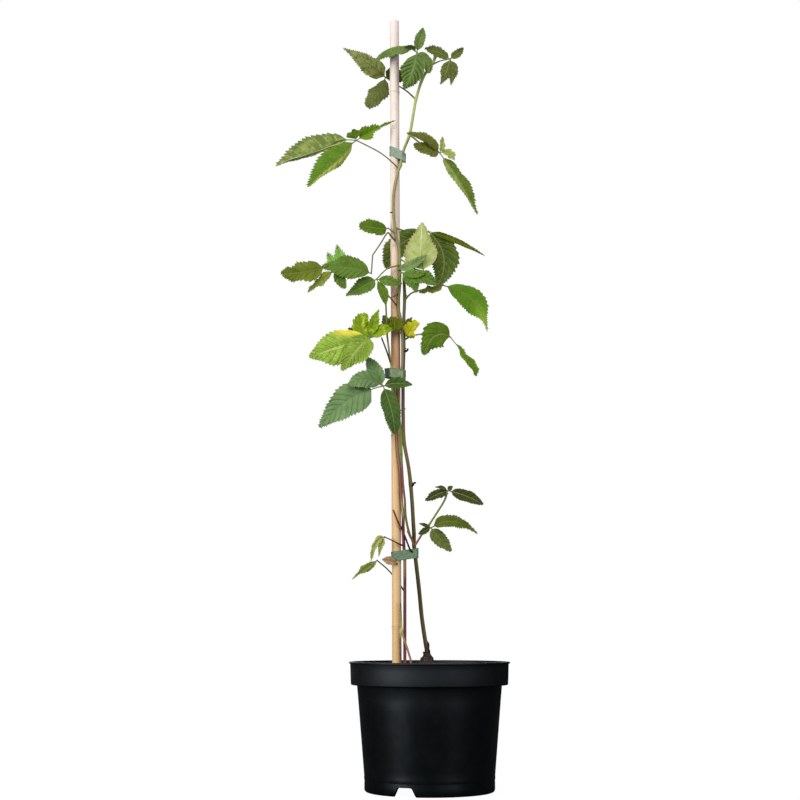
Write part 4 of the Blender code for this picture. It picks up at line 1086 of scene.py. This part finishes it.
LEAVES = {
    "leaf_crown_left": leaf("leaf_pale", [(-16, -2, 838), (-26, 5, 850), (-40, 10, 861), (-53, 10, 870)], [
        leaflet("olive_pale", (-79, 4, 889), (-106, 4, 906), 16, facing=BACK, fold=0.2, stalk=0.02, tail=0.5,
            widest=0.55, full=0.8, teeth=1.3, wide=1.45),
        leaflet("olive", (-61, 4, 849), (-77, 4, 831), 23, fold=-0.15, stalk=0.06, tail=0.0, widest=1.3,
            full=0.38, teeth=1.2, ragged=0.14, wide=0.95),
        leaflet("olive_deep", (-42, 14, 873), (-27, 14, 867), 23, stalk=0.06),
    ], ("#5c6230", "#34341a")),
    "leaf_crown_front": leaf("leaf_bright", [(-8, -2, 862), (-10, -9, 873), (-14, -13, 894)], [
        leaflet("soft", (-42, -16, 899), (-76, -14, 871), 14, facing=FRONT_UP, fold=-0.2, stalk=0.1,
            tail=0.6, widest=0.6, teeth=1.5, curl=0.2, ragged=0.12, wide=1.6),
        leaflet("soft", (-10, -13, 910), (-6, -12, 926), 13.5, fold=0.25, stalk=0.08),
        leaflet("deepgreen", (-21, -16, 899), (-29, -18, 900), 7, facing=UP, fold=0.3, stalk=0.1,
            ragged=0.15, wide=1.6),
        leaflet("soft", (-19, -18, 869), (-30, -16, 846), 28, fold=-0.12, tail=0.4, widest=0.7, full=0.6,
            teeth=1.6, ragged=0.1, pleat=2.6, wide=1.1),
        leaflet("soft", (-3, -14, 884), (1, -14, 867), 14, fold=-0.2, stalk=0.06, full=0.5, pleat=1.1,
            wide=1.15),
    ]),
    "leaf_crown_right": leaf("leaf_olive", [(5, -2, 882), (15, -4, 886), (27, -6, 888)], [
        leaflet("olive_low", (13, -7, 896), (-4, -6, 902), 15, stalk=0.06, teeth=1.5, ragged=0.12),
        leaflet("olive_low", (36, -7, 894), (44, -8, 902), 11, fold=0.2, stalk=0.08),
        leaflet("olive", (23, -12, 870), (15, -12, 853), 16, fold=-0.15, stalk=0.06, tail=0.45, widest=0.66,
            teeth=1.4, pleat=1.5),
        leaflet("olive", (30, -10, 871), (28, -12, 852), 14, start=(27.8, -6.2, 887.2), fold=-0.15,
            stalk=0.06, tail=0.45, widest=0.66, teeth=1.4, pleat=1.5),
    ]),
    "leaf_upper_left": leaf("leaf_pale", [
        (-37, -8, 747), (-43, -12, 753), (-60, -15, 766), (-88, -18, 780)], [
        leaflet("upper", (-139, -28, 771.5), (-185, -36, 742), 23, facing=BACK, fold=0.2, stalk=0.2,
            bare=0.1, tail=0.4, widest=0.9, full=0.7, off=0.7, teeth=1.2, wide=1.08),
        leaflet("grass_edge", (-121, -32, 751), (-146, -40, 715), 24, fold=-0.15, stalk=0.06, tail=0.2,
            widest=0.72, off=-0.6, teeth=1.5, wide=1.05),
        leaflet("deepgreen", (-90, -20, 787), (-90, -21, 793), 8, fold=0.2, stalk=0.1, full=0.5, teeth=1.5,
            ragged=0.3, wide=2.2),
        leaflet("grass", (-65, -16, 795), (-40, -13, 807), 10, fold=0.3, stalk=0.08, tail=0.75, widest=0.4,
            teeth=2.0, ragged=0.45, wide=1.15),
    ], ("#666e30", "#584a28")),
    "leaf_upper_right": leaf("leaf_olive", [(-22, -4, 791), (-10, -7, 780), (2, -10, 772), (14, -12, 766)], [
        leaflet("olive_brown", (-3, -17, 782), (-26, -20, 788), 13, facing=FRONT_UP, stalk=0.06, tail=0.1,
            full=0.5, teeth=1.5, ragged=0.1, wide=1.45),
        leaflet("olive_brown", (0, -19, 768), (-18, -22, 774), 12, stalk=0.06, tail=0.0, full=0.5, teeth=1.4,
            ragged=0.1, wide=1.4),
        leaflet("lime", (17, -14, 775), (17, -14, 786), 8, fold=0.2, stalk=0.1, ragged=0.25, wide=0.9),
        leaflet("lime", (24, -14, 766), (32, -15, 756), 9, fold=0.1, stalk=0.1, ragged=0.3, wide=1.3),
        leaflet("grass_pale", (37, -20, 730), (59, -26, 685), 18, facing=RIGHT_FRONT, fold=0.2, stalk=0.1,
            tail=0.3, widest=0.66, full=0.62, teeth=1.7, ragged=0.1, wide=1.4),
    ]),
    "leaf_node_left": leaf("leaf_olive", [(-40, -9, 665), (-45, -12, 668), (-49, -13, 671)], [
        leaflet("deepgreen", (-66, -16, 671), (-84, -15, 676), 15, tail=0.0, full=0.5, teeth=1.4, ragged=0.1,
            wide=1.3),
    ], ("#6a6c3a", "#5a3a2a")),
    "leaf_mid_left": leaf("leaf_bright", [
        (-35, -8, 627), (-40, -13, 624), (-49, -15, 621), (-56, -16, 615), (-63, -17, 607)], [
        leaflet("leafgreen", (-80, -20, 597), (-100, -20, 586), 18.5, stalk=0.06, tail=0.45, widest=0.7,
            full=0.6, teeth=1.2, wide=1.1),
        leaflet("leafgreen", (-47, -19, 604), (-32, -18, 601), 11, stalk=0.06, wide=1.15),
        leaflet("deepgreen", (-55, -20, 590), (-52, -20, 575), 10, stalk=0.06, widest=0.95, wide=1.15),
    ]),
    "leaf_far_left": leaf("leaf_bright", [
        (-40, -9, 656), (-46, -15, 661), (-50, -18, 664), (-58.5, -20, 650), (-67, -22, 636.5),
        (-67.8, -22.6, 633.5), (-69.2, -26, 612)], [
        leaflet("leafgreen", (-97, -31, 618), (-128, -33, 619), 24, fold=0.1, stalk=0.04, tail=0.3,
            widest=0.9, full=0.55, teeth=1.4, ragged=0.1, wide=1.12),
        leaflet("fresh", (-107, -24, 633), (-111, -25, 648), 12, start=(-102, -30.2, 619), stalk=0.28,
            tail=0.6, widest=0.6, teeth=2.2, ragged=0.12, wide=1.15),
        leaflet("fresh", (-118, -26, 629), (-122, -27, 638), 9, start=(-112, -31.5, 619), stalk=0.25,
            tail=0.6, widest=0.6, teeth=2.2, ragged=0.12, wide=1.15),
        leaflet("leafgreen", (-106, -31, 603), (-100, -30, 593), 11, start=(-109, -32, 617), fold=0.1,
            widest=0.7, full=0.55, teeth=1.4, wide=1.3),
        leaflet("far_dark", (-153, -40, 610), (-177, -44, 609), 22, start=(-122, -33, 619), fold=0.1,
            stalk=0.06, tail=0.4, widest=0.9, full=0.6, teeth=1.6, ragged=0.18, wide=1.25),
        leaflet("far_olive", (-130, -36, 601), (-145, -39, 586), 10, start=(-113, -32, 615), fold=0.1,
            stalk=0.08, teeth=1.4, ragged=0.3),
    ], ("#6a5a36", "#5c3a30")),
    "leaf_back": leaf("leaf_dark", [
        (-40, -9, 673), (-35, -8, 671), (-29, 2, 672), (-14, 10, 674), (0, 14, 674)], [
        leaflet("shade", (-36, 17, 656), (-50, 17, 627), 27, fold=0.1, stalk=0.06, tail=0.1, full=0.55,
            teeth=1.4, wide=1.1),
        leaflet("shade", (19, 17, 643), (12, 19, 606), 36, fold=0.1, stalk=0.04, full=0.6, teeth=1.5),
        leaflet("dark_lime", (36, 13, 661), (70, 11, 642), 9, fold=0.1, stalk=0.06, widest=0.6, wide=0.85),
    ]),
    "leaf_pale_up": leaf("leaf_pale", [(-35, -8, 634), (-29, -10, 630), (-18, -9, 622), (-6, -8, 619)], [
        leaflet("pale_lime", (-9, -6, 648), (-7, -3, 681), 36, facing=BACK, fold=0.08, stalk=0.03, tail=0.35,
            widest=0.7, full=0.8, teeth=1.5, pleat=0.15, wide=1.08),
    ]),
    "leaf_front_small": leaf("leaf_bright", [(-35, -8, 620), (-37, -12, 619), (-37, -13, 620)], [
        leaflet("upper_soft", (-20, -13, 626), (-2, -12, 638), 9, stalk=0.04, full=0.55, wide=1.3),
    ]),
    "leaf_mid_front": leaf("leaf_bright", [(-35, -8, 611), (-34, -12, 614), (-33, -14, 616)], [
        leaflet("leafgreen", (-19, -19, 612), (-4, -20, 613), 9),
        leaflet("leafgreen", (-21, -18, 606), (-15, -18, 590), 15, wide=1.15),
        leaflet("leafgreen", (-8, -18, 609), (11, -17, 600), 16, ragged=0.15, wide=1.15),
    ]),
    "leaf_mid_right": leaf("leaf_bright", [
        (-29, -2, 584), (-21, -5, 592), (-8, -7, 596), (9, -8, 600), (18, -8.5, 601)], [
        leaflet("grass_tip", (54.5, -18, 579.5), (70, -22, 541), 27, fold=-0.15, stalk=0.04, tail=0.8,
            widest=0.86, full=0.6, teeth=1.2, pleat=0.3, wide=1.06),
        leaflet("olive_brown", (3, -12, 595), (-12, -13, 592), 7, full=0.5, ragged=0.35, wide=1.2),
    ], ("#55641e", "#3e4616")),
    "leaf_variegated": leaf("leaf_variegated", [
        (-33, -8, 542), (-39, -14, 544), (-46, -16, 544), (-55, -18, 539), (-70, -19, 535)], [
        leaflet("variegated", (-111, -30, 520), (-143, -34, 509), 38, fold=0.08, stalk=0.03, tail=0.45,
            widest=0.88, full=0.62, teeth=1.5, pleat=1.1, wide=1.13),
        leaflet("striped", (-86, -33, 517), (-104, -38, 492), 25, start=(-71, -22, 536), fold=0.04,
            stalk=0.03, tail=0.45, full=0.55, teeth=1.5, pleat=1.0, wide=1.25),
        leaflet("lime_yellow", (-81, -19, 550), (-74, -19, 563), 17, tail=0.1, widest=0.7, full=0.5,
            teeth=1.3, wide=1.4),
        leaflet("lime_yellow", (-66, -21, 553), (-60, -21, 569), 10, fold=0.2, tail=0.4, teeth=1.2,
            wide=1.25),
        leaflet("lime_yellow", (-58, -21, 543), (-44, -22, 544), 11, full=0.55, teeth=1.3, wide=1.4),
        leaflet("dark_lime", (-41, -16, 551), (-46, -16, 561), 13, start=(-43, -16, 544), full=0.5,
            ragged=0.25, wide=1.2),
        leaflet("olive_deep", (-80, -14, 542), (-98, -13, 547), 13, start=(-66, -18.6, 536.3), fold=0.1),
        leaflet("olive_deep", (-50, -11, 553), (-55, -10, 564), 13, start=(-46, -16, 544), fold=0.1),
    ]),
    "leaf_yellow": leaf("leaf_yellow", [(-31, -2, 541), (-28, -6, 543)], [
        leaflet("yellow", (-22, -9, 546), (-16, -10, 558), 15, start=(-28, -7, 539), fold=0.04, tail=0.0,
            full=0.4, teeth=1.6, wave=0.5, ragged=0.32, pleat=0.2, wide=1.05),
        leaflet("olive_brown", (-24, -8, 539), (-18, -9, 537), 6, fold=0.2),
        leaflet("dark_lime", (-25, -7, 554), (-20, -7, 562), 6, fold=0.2, ragged=0.2, wide=1.3),
    ]),
    "leaf_heart_right": leaf("leaf_bright", [
        (-31, -2, 534), (-21, -6, 539), (-7, -9, 541), (10, -12, 540), (26, -15, 536)], [
        leaflet("deepgreen", (7.5, -20, 536.5), (-6.5, -21, 513.5), 29, fold=0.08, stalk=0.02, tail=0.4,
            widest=0.85, full=0.66, teeth=1.7, wide=1.18),
        leaflet("deepgreen", (15, -12, 550), (2, -10, 554), 8, facing=FRONT_UP, ragged=0.2, wide=1.2),
        leaflet("grass", (45, -18, 511), (57, -19, 488), 11, facing=RIGHT_FRONT, fold=0.2, stalk=0.14,
            tail=0.0, widest=1.3, teeth=1.6, ragged=0.35, wide=1.35),
    ], ("#776650", "#4e3c30")),
    "leaf_blue": leaf("leaf_blue", [(-43, -13, 478), (-48, -18, 477), (-55, -19, 476)], [
        leaflet("blue", (-93, -32, 458), (-130, -37, 424), 33, fold=0.08, stalk=0.18, tail=0.4, widest=0.7,
            full=0.55, teeth=1.5, pleat=0.8, wide=1.2),
        leaflet("blue", (-76, -30, 482), (-95, -35, 474), 17, fold=0.1, stalk=0.08, tail=0.0, full=0.5,
            pleat=0.8, wide=1.2),
        leaflet("blue", (-65, -20, 494), (-74, -19, 511), 15, fold=0.12, stalk=0.06, tail=0.2, widest=0.7,
            full=0.6, pleat=0.8, wide=1.35),
        leaflet("blue_dark", (-38, -22, 479), (-20, -21, 477), 14, fold=0.12, stalk=0.06),
        leaflet("blue_dark", (-45, -25, 447), (-41, -26, 417), 20, fold=0.1, tail=0.1, widest=0.9, full=0.55,
            wide=1.08),
    ]),
    "leaf_low_left": leaf("leaf_variegated", [
        (-30, -4, 286), (-36, -9, 288), (-44, -12, 292), (-53, -12, 296)], [
        leaflet("lime_pale", (-63, -15, 289), (-69, -16, 267), 8.5, stalk=0.04, teeth=0.8, ragged=0.2,
            wide=0.9),
        leaflet("lime_pale", (-57, -14, 286), (-60, -15, 273), 7, stalk=0.06, teeth=0.8, ragged=0.2,
            wide=0.85),
    ], ("#4c2a10", "#2a1508")),
    "leaf_low_back": leaf("leaf_olive", [
        (-29, -4, 231), (-32, 4, 236), (-39, 10, 246), (-49, 7, 258), (-62, 4, 269)], [
        leaflet("lime_low", (-77, 0, 259), (-92, -2, 246), 9, tail=0.5, teeth=1.3, ragged=0.25, wide=0.8),
        leaflet("lime_pale", (-69, 2, 262), (-74, 2, 255), 6),
    ], ("#3c4a28", "#2a321a")),
    "leaf_dried": leaf("leaf_dry", [(-38.5, -2, 264), (-38, -6.5, 264.5), (-38.5, -8, 265.5)], [
        leaflet("dry", (-47, -10, 268), (-56, -11, 269.5), 10, fold=0.3),
    ], ("#7a5a3c", "#5a4028")),
    "leaf_shoot_top": leaf("leaf_dark", [(20, -12, 344), (22, -14, 351)], [
        leaflet("dark", (9, -17, 346), (-5, -18, 339), 11.5, full=0.6, ragged=0.12),
        leaflet("dark", (15, -16, 354), (7, -17, 355), 6.5, facing=FRONT_UP),
        leaflet("dark", (25, -15, 354), (28, -15, 356), 5.5),
        leaflet("dark", (44, -19, 344), (64, -21, 334), 14.5, fold=0.12, stalk=0.08, tail=0.1, full=0.6,
            teeth=0.7),
    ], ("#86705a", "#70463e")),
    "leaf_shoot_low": leaf("leaf_olive", [(-2, -7, 308), (2, -11, 307)], [
        leaflet("olive_deep", (29, -18, 314), (57, -21, 299), 19, facing=FRONT_UP, fold=0.1, stalk=0.06,
            tail=0.45, widest=0.6, teeth=1.4, ragged=0.1, wide=1.15),
        leaflet("olive_low", (13, -16, 293), (26, -17, 279), 17, fold=0.1, tail=0.25, full=0.55),
        leaflet("dark", (-5, -12, 310), (-12, -13, 312), 4.5),
        leaflet("dark", (-6, -14, 303), (-13, -15, 299), 7.5),
    ], ("#5c7030", "#4a4a28")),
}

# Upper sides: colour by the veins, which is also painted shade in the pleat hollows, colour between them,
# vein, which also colours the painted sheen patches, sheen, the underside's name, and any patch.
LEAF_LOOKS = {
    "soft": ("#36500f", "#5d7238", "#869a5a", 0.14, "green"),
    "upper_soft": ("#486220", "#6e8250", "#94a670", 0.14, "green"),
    "leafgreen": ("#305005", "#567226", "#758c46", 0.1, "green"),
    "fresh": ("#4e7a1e", "#7ba64c", "#9cbc6a", 0.1, "green"),
    "grass": ("#3a5f04", "#5e7d16", "#7c8f3c", 0.05, "lime"),
    "grass_tip": ("#335806", "#4a6e12", "#708c34", 0.05, "lime", "#76982a", "tip"),
    "grass_edge": ("#2f5202", "#52741a", "#84963a", 0.08, "lime", "#9aa64c", "left"),
    "grass_pale": ("#355004", "#5a6e20", "#98a060", 0.05, "lime", "#87964a", "right"),
    "deepgreen": ("#2b4a04", "#4d6812", "#73803c", 0.05, "green"),
    "olive": ("#3d4616", "#5e6634", "#747c50", 0.04, "olive"),
    "olive_low": ("#343f10", "#56602c", "#6e774c", 0.04, "olive"),
    "olive_deep": ("#243004", "#4f5a1c", "#707846", 0.03, "olive"),
    "shade": ("#3e4e16", "#526422", "#9aa66e", 0.03, "olive"),
    "olive_pale": ("#596332", "#788452", "#929c70", 0.04, "ash"),
    "olive_brown": ("#3c4005", "#616729", "#827248", 0.04, "olive"),
    "dark": ("#1c2504", "#3a421a", "#5a603a", 0.03, "olive"),
    "dark_lime": ("#324105", "#545f05", "#6f6e1e", 0.03, "olive"),
    "lime": ("#6a742b", "#939c50", "#adb17a", 0.1, "lime"),
    "lime_low": ("#4c5818", "#6a7632", "#8c9462", 0.08, "lime"),
    "lime_pale": ("#646d2b", "#8f9754", "#acb080", 0.08, "lime"),
    "lime_yellow": ("#4a6804", "#718b0f", "#98a43f", 0.05, "lime", "#a3ac2c", "blotch"),
    "far_dark": ("#394804", "#5f6d20", "#7e863e", 0.05, "lime"),
    "far_olive": ("#4a5906", "#717f30", "#8c944e", 0.05, "lime"),
    "upper": ("#4c5a1b", "#828e50", "#9da571", 0.05, "bright"),
    "variegated": ("#416408", "#86a53e", "#d2da78", 0.05, "lime", "#d2c23c", "base"),
    "striped": ("#2c4c04", "#728e2e", "#d2d67c", 0.05, "lime"),
    "yellow": ("#98970a", "#aeac14", "#c4c260", 0.05, "sun"),
    "blue": ("#426133", "#688352", "#6c865a", 0.16, "green"),
    "blue_dark": ("#1d3805", "#405826", "#586a3e", 0.08, "green"),
    "pale_lime": ("#72823f", "#98a464", "#a8b07c", 0.08, "pale"),
    "dry": ("#7a6042", "#9c8062", "#ac967c", 0.08, "dry"),
}
# Undersides: two colours that mingle, the colour of the veins, and any colour along the edge.
UNDERSIDES = {
    "ash": ("#545c22", "#7c824a", "#999f74"),
    "green": ("#44551f", "#5f6e3c", "#7c865c"),
    "lime": ("#505b1b", "#828e50", "#989f6b"),
    "bright": ("#56662a", "#83904c", "#bcc492", "#4e6026"),
    "pale": ("#8a984e", "#9ea86c", "#cdd4aa", "#9c8a62"),
    "olive": ("#3f4716", "#5f6634", "#767d53"),
    "dry": ("#6c5438", "#88705a", "#a08c70"),
    "sun": ("#8c8a0c", "#9e9c16", "#b0ae50"),
}

BLADE_THICKNESS = 0.4
RIB_SPACING = 6.5  # usual distance between side veins
MOST_RIBS = 9
FEWEST_RIBS = 3
ROWS_TO_TOOTH = 3
TEETH_TO_RIB = 2
COLUMNS = (0.0, 0.1, 0.32, 0.58, 0.82, 1.0)  # places across half a blade, from the midrib to the edge
TOOTH_PROFILE = (0.0, 0.55, 1.0)
SMALL_TOOTH = 0.62
TOOTH_LIMIT = 1.7
PLEAT_LIMIT = 0.75
VEIN_SLANT = 0.9
GUTTER_DEPTH = 0.25  # how far the blade dips along its midrib
GUTTER_WIDTH = 0.13
FOLD_DEPTH = 1.4
STALK_RADIUS = (1.2, 0.8)
STALK_SPAN = 4
SWELLING_SIZE = (1.05, 1.05, 1.05)
MIDRIB_STEPS = 12
MIDRIB_REACH = 0.94  # the share of the leaflet that the raised midrib runs along


def half_width(blade, share, width, bare):
    """Half a leaflet's width at a share of its length: an egg shape with a drawn-out tip."""
    along = min(1.0, max(0.0, (share - bare) / (1.0 - bare)))
    egg = max(0.0, math.sin(math.pi * along ** blade.widest)) ** blade.full
    egg *= soft_step(along, -0.03, 0.1)
    return width / 2 * egg * (1.0 - blade.tail * soft_step(along, 0.5, 0.95))


def midrib(blade, share):
    """A point on the midrib, a parabola through three points, with the directions to the side and up."""
    start, tip = blade.start, blade.tip
    bow = 4.0 * (blade.middle - start.lerp(tip, 0.5))
    place = start.lerp(tip, share) + bow * share * (1.0 - share)
    along = (tip - start + bow * (1.0 - 2.0 * share)).normalized()
    up = (blade.facing - along * along.dot(blade.facing)).normalized()
    return place, along.cross(up), up


def thicken(work, under, index):
    """Make a sheet of faces the underside of a thin blade; its two finishes start at an index."""
    shifts = {vert: vert.normal * -BLADE_THICKNESS * MM for face in under for vert in face.verts}
    before = set(work.faces)
    made = bmesh.ops.extrude_face_region(work, geom=under, use_keep_orig=True)["geom"]
    tops = [item for item in made if isinstance(item, bmesh.types.BMFace)]
    rims = set(work.faces) - before - set(tops)
    for vert, shift in shifts.items():
        vert.co += shift
    for faces, kind in ((under, 1), (rims, 1), (tops, 0)):
        for face in faces:
            face.material_index = index + kind
    bmesh.ops.recalc_face_normals(work, faces=[*under, *rims, *tops])


def add_blade(work, layer, blade, index, draw):
    """Add a leaflet's blade: a grid along the midrib, pleated between side veins, with a toothed edge."""
    width, fold = blade.width * blade.wide, blade.fold * FOLD_DEPTH
    off, bare = blade.off, blade.bare
    length = (blade.middle - blade.start).length + (blade.tip - blade.middle).length
    ribs = max(FEWEST_RIBS, min(MOST_RIBS, round(length * (1.0 - bare) / RIB_SPACING)))
    rows = ribs * TEETH_TO_RIB * ROWS_TO_TOOTH
    spacing = length * (1.0 - bare) / ribs
    tooth_depth = blade.teeth * min(TOOTH_LIMIT, 0.06 * width + 0.35)
    pleat = blade.pleat * min(PLEAT_LIMIT, 0.11 * spacing)
    phases = [draw.uniform(0.0, math.tau) for side in range(6)]
    half_columns = len(COLUMNS) - 1
    made = bmesh.ops.create_grid(work, x_segments=2 * half_columns, y_segments=rows, size=0.5)
    for vert in made["verts"]:
        column = round(vert.co.x * 2.0 * half_columns)
        row = round((vert.co.y + 0.5) * rows)
        side_way = -1.0 if column < 0 else 1.0
        out = COLUMNS[abs(column)]
        down = row / rows
        at = bare + (1.0 - bare) * down
        at = min(1.0, at + VEIN_SLANT * out * half_width(blade, at, width, bare) / length)
        turns = phases[:3] if column < 0 else phases[3:]
        bulge = math.sin(math.tau * 1.4 * down + turns[0]) + 0.6 * math.sin(math.tau * 3.2 * down + turns[1])
        half = half_width(blade, at, width, bare) * (1.0 + blade.ragged * bulge)
        if out == 1.0:
            big = 1.0 if (row // ROWS_TO_TOOTH) % TEETH_TO_RIB == 0 else SMALL_TOOTH
            room = soft_step(down, 0.02, 0.16) * (1.0 - soft_step(down, 0.93, 1.0))
            tooth = tooth_depth * big * room * draw.uniform(0.7, 1.2) * (1.0 - side_way * off)
            rise = TOOTH_PROFILE[row % ROWS_TO_TOOTH]
            half += tooth * (rise - 0.45)
            at = min(1.0, at + 0.6 * tooth * rise / length)
        place, side, up = midrib(blade, at)
        rib = down * ribs
        ridge = abs(math.sin(math.pi * rib)) ** 0.65 - 0.4
        lift = pleat * ridge * soft_step(out, 0.03, 0.3) * (1.0 - 0.4 * soft_step(out, 0.7, 1.0))
        lift *= soft_step(down, 0.0, 0.1) * (1.0 - soft_step(down, 0.9, 1.0))
        lift -= GUTTER_DEPTH * math.exp(-((out / GUTTER_WIDTH) ** 2))
        lift += blade.wave * 0.09 * half * math.sin(math.tau * 1.3 * down + turns[2]) * out * out
        lift += out * half * fold - blade.curl * half * out * out
        sideways = off + side_way * out * (1.0 - side_way * off)
        vert.co = (place + side * sideways * half + up * lift) * MM
        vert[layer] = Vector((side_way * out, down, rib))
    own = {face for vert in made["verts"] for face in vert.link_faces}
    bmesh.ops.remove_doubles(work, verts=made["verts"], dist=0.01 * MM)
    work.normal_update()
    thicken(work, [face for face in own if face.is_valid], index)


def midrib_tube(blade):
    """The leaflet's own stalk, which goes on under the blade as a tapering midrib."""
    scale = min(1.0, blade.width / 20.0 + 0.3)
    points, radii = [], []
    for step in range(MIDRIB_STEPS + 1):
        share = MIDRIB_REACH * step / MIDRIB_STEPS
        place, side, up = midrib(blade, share)
        place += side * blade.off * half_width(blade, share, blade.width, blade.stalk)
        radius = scale * (0.75 - 0.6 * share / MIDRIB_REACH)
        under = 0.75 * radius + 0.12
        if share <= blade.stalk:
            under = under * share / max(blade.stalk, 0.01)
        points.append(place - up * under)
        radii.append(radius)
    return points, radii


@cache
def stalk_finish(deep, streak):
    """A stalk's finish, made once for each colour."""
    return stem_finish(f"stalk_{deep[1:]}", 0, 1000, [(0.0, deep), (1.0, deep)], streak)


@cache
def blade_finish(look):
    """An upper side's finish, made once for each look."""
    deep, fresh, vein, gloss, _, *patch = LEAF_LOOKS[look]
    return leaf_finish(f"leaf_{look}", deep, fresh, vein, gloss, *patch)


@cache
def back_finish(name):
    """An underside's finish, made once for each name."""
    return underside_finish(f"underside_{name}", *UNDERSIDES[name])


def make_leaf(name, slot, route, leaflets, stalk_colours):
    """A compound leaf: stalk, swellings and toothed leaflets in one piece."""
    draw = random.Random(name)
    finishes = [stalk_finish(*stalk_colours)]
    places = {}  # where each look's two finishes start
    for look in dict.fromkeys(each.look for each in leaflets):
        places[look] = len(finishes)
        finishes += [blade_finish(look), back_finish(LEAF_LOOKS[look][4])]
    line = smooth_route(route, STALK_SPAN)
    wide, thin = STALK_RADIUS
    radii = [wide + (thin - wide) * min(1.0, 2.0 * step / len(line)) for step in range(len(line))]
    work = bmesh.new()
    add_tubes(work, [(line, radii), *map(midrib_tube, leaflets)])
    for place in {tuple(each.start) for each in leaflets}:
        add_ball(work, place, SWELLING_SIZE)
    layer = work.verts.layers.float_vector.new("blade")
    for each in leaflets:
        add_blade(work, layer, each, places[each.look], draw)
    finish_piece(work, f"{name}_blades", name, finishes, 60.0)


# ---------------------------------------------------------------- the whole bush

make_camera()
make_lamps()
make_surround()
make_floor()
make_pot()
make_compost()
make_stake()
make_crown()
for stem_name, stem_row in STEMS.items():
    make_stem(stem_name, stem_row)
for tape_name, tape_row in TAPES.items():
    make_tape(tape_name, *tape_row)
for leaf_name, leaf_row in LEAVES.items():
    make_leaf(leaf_name, *leaf_row)
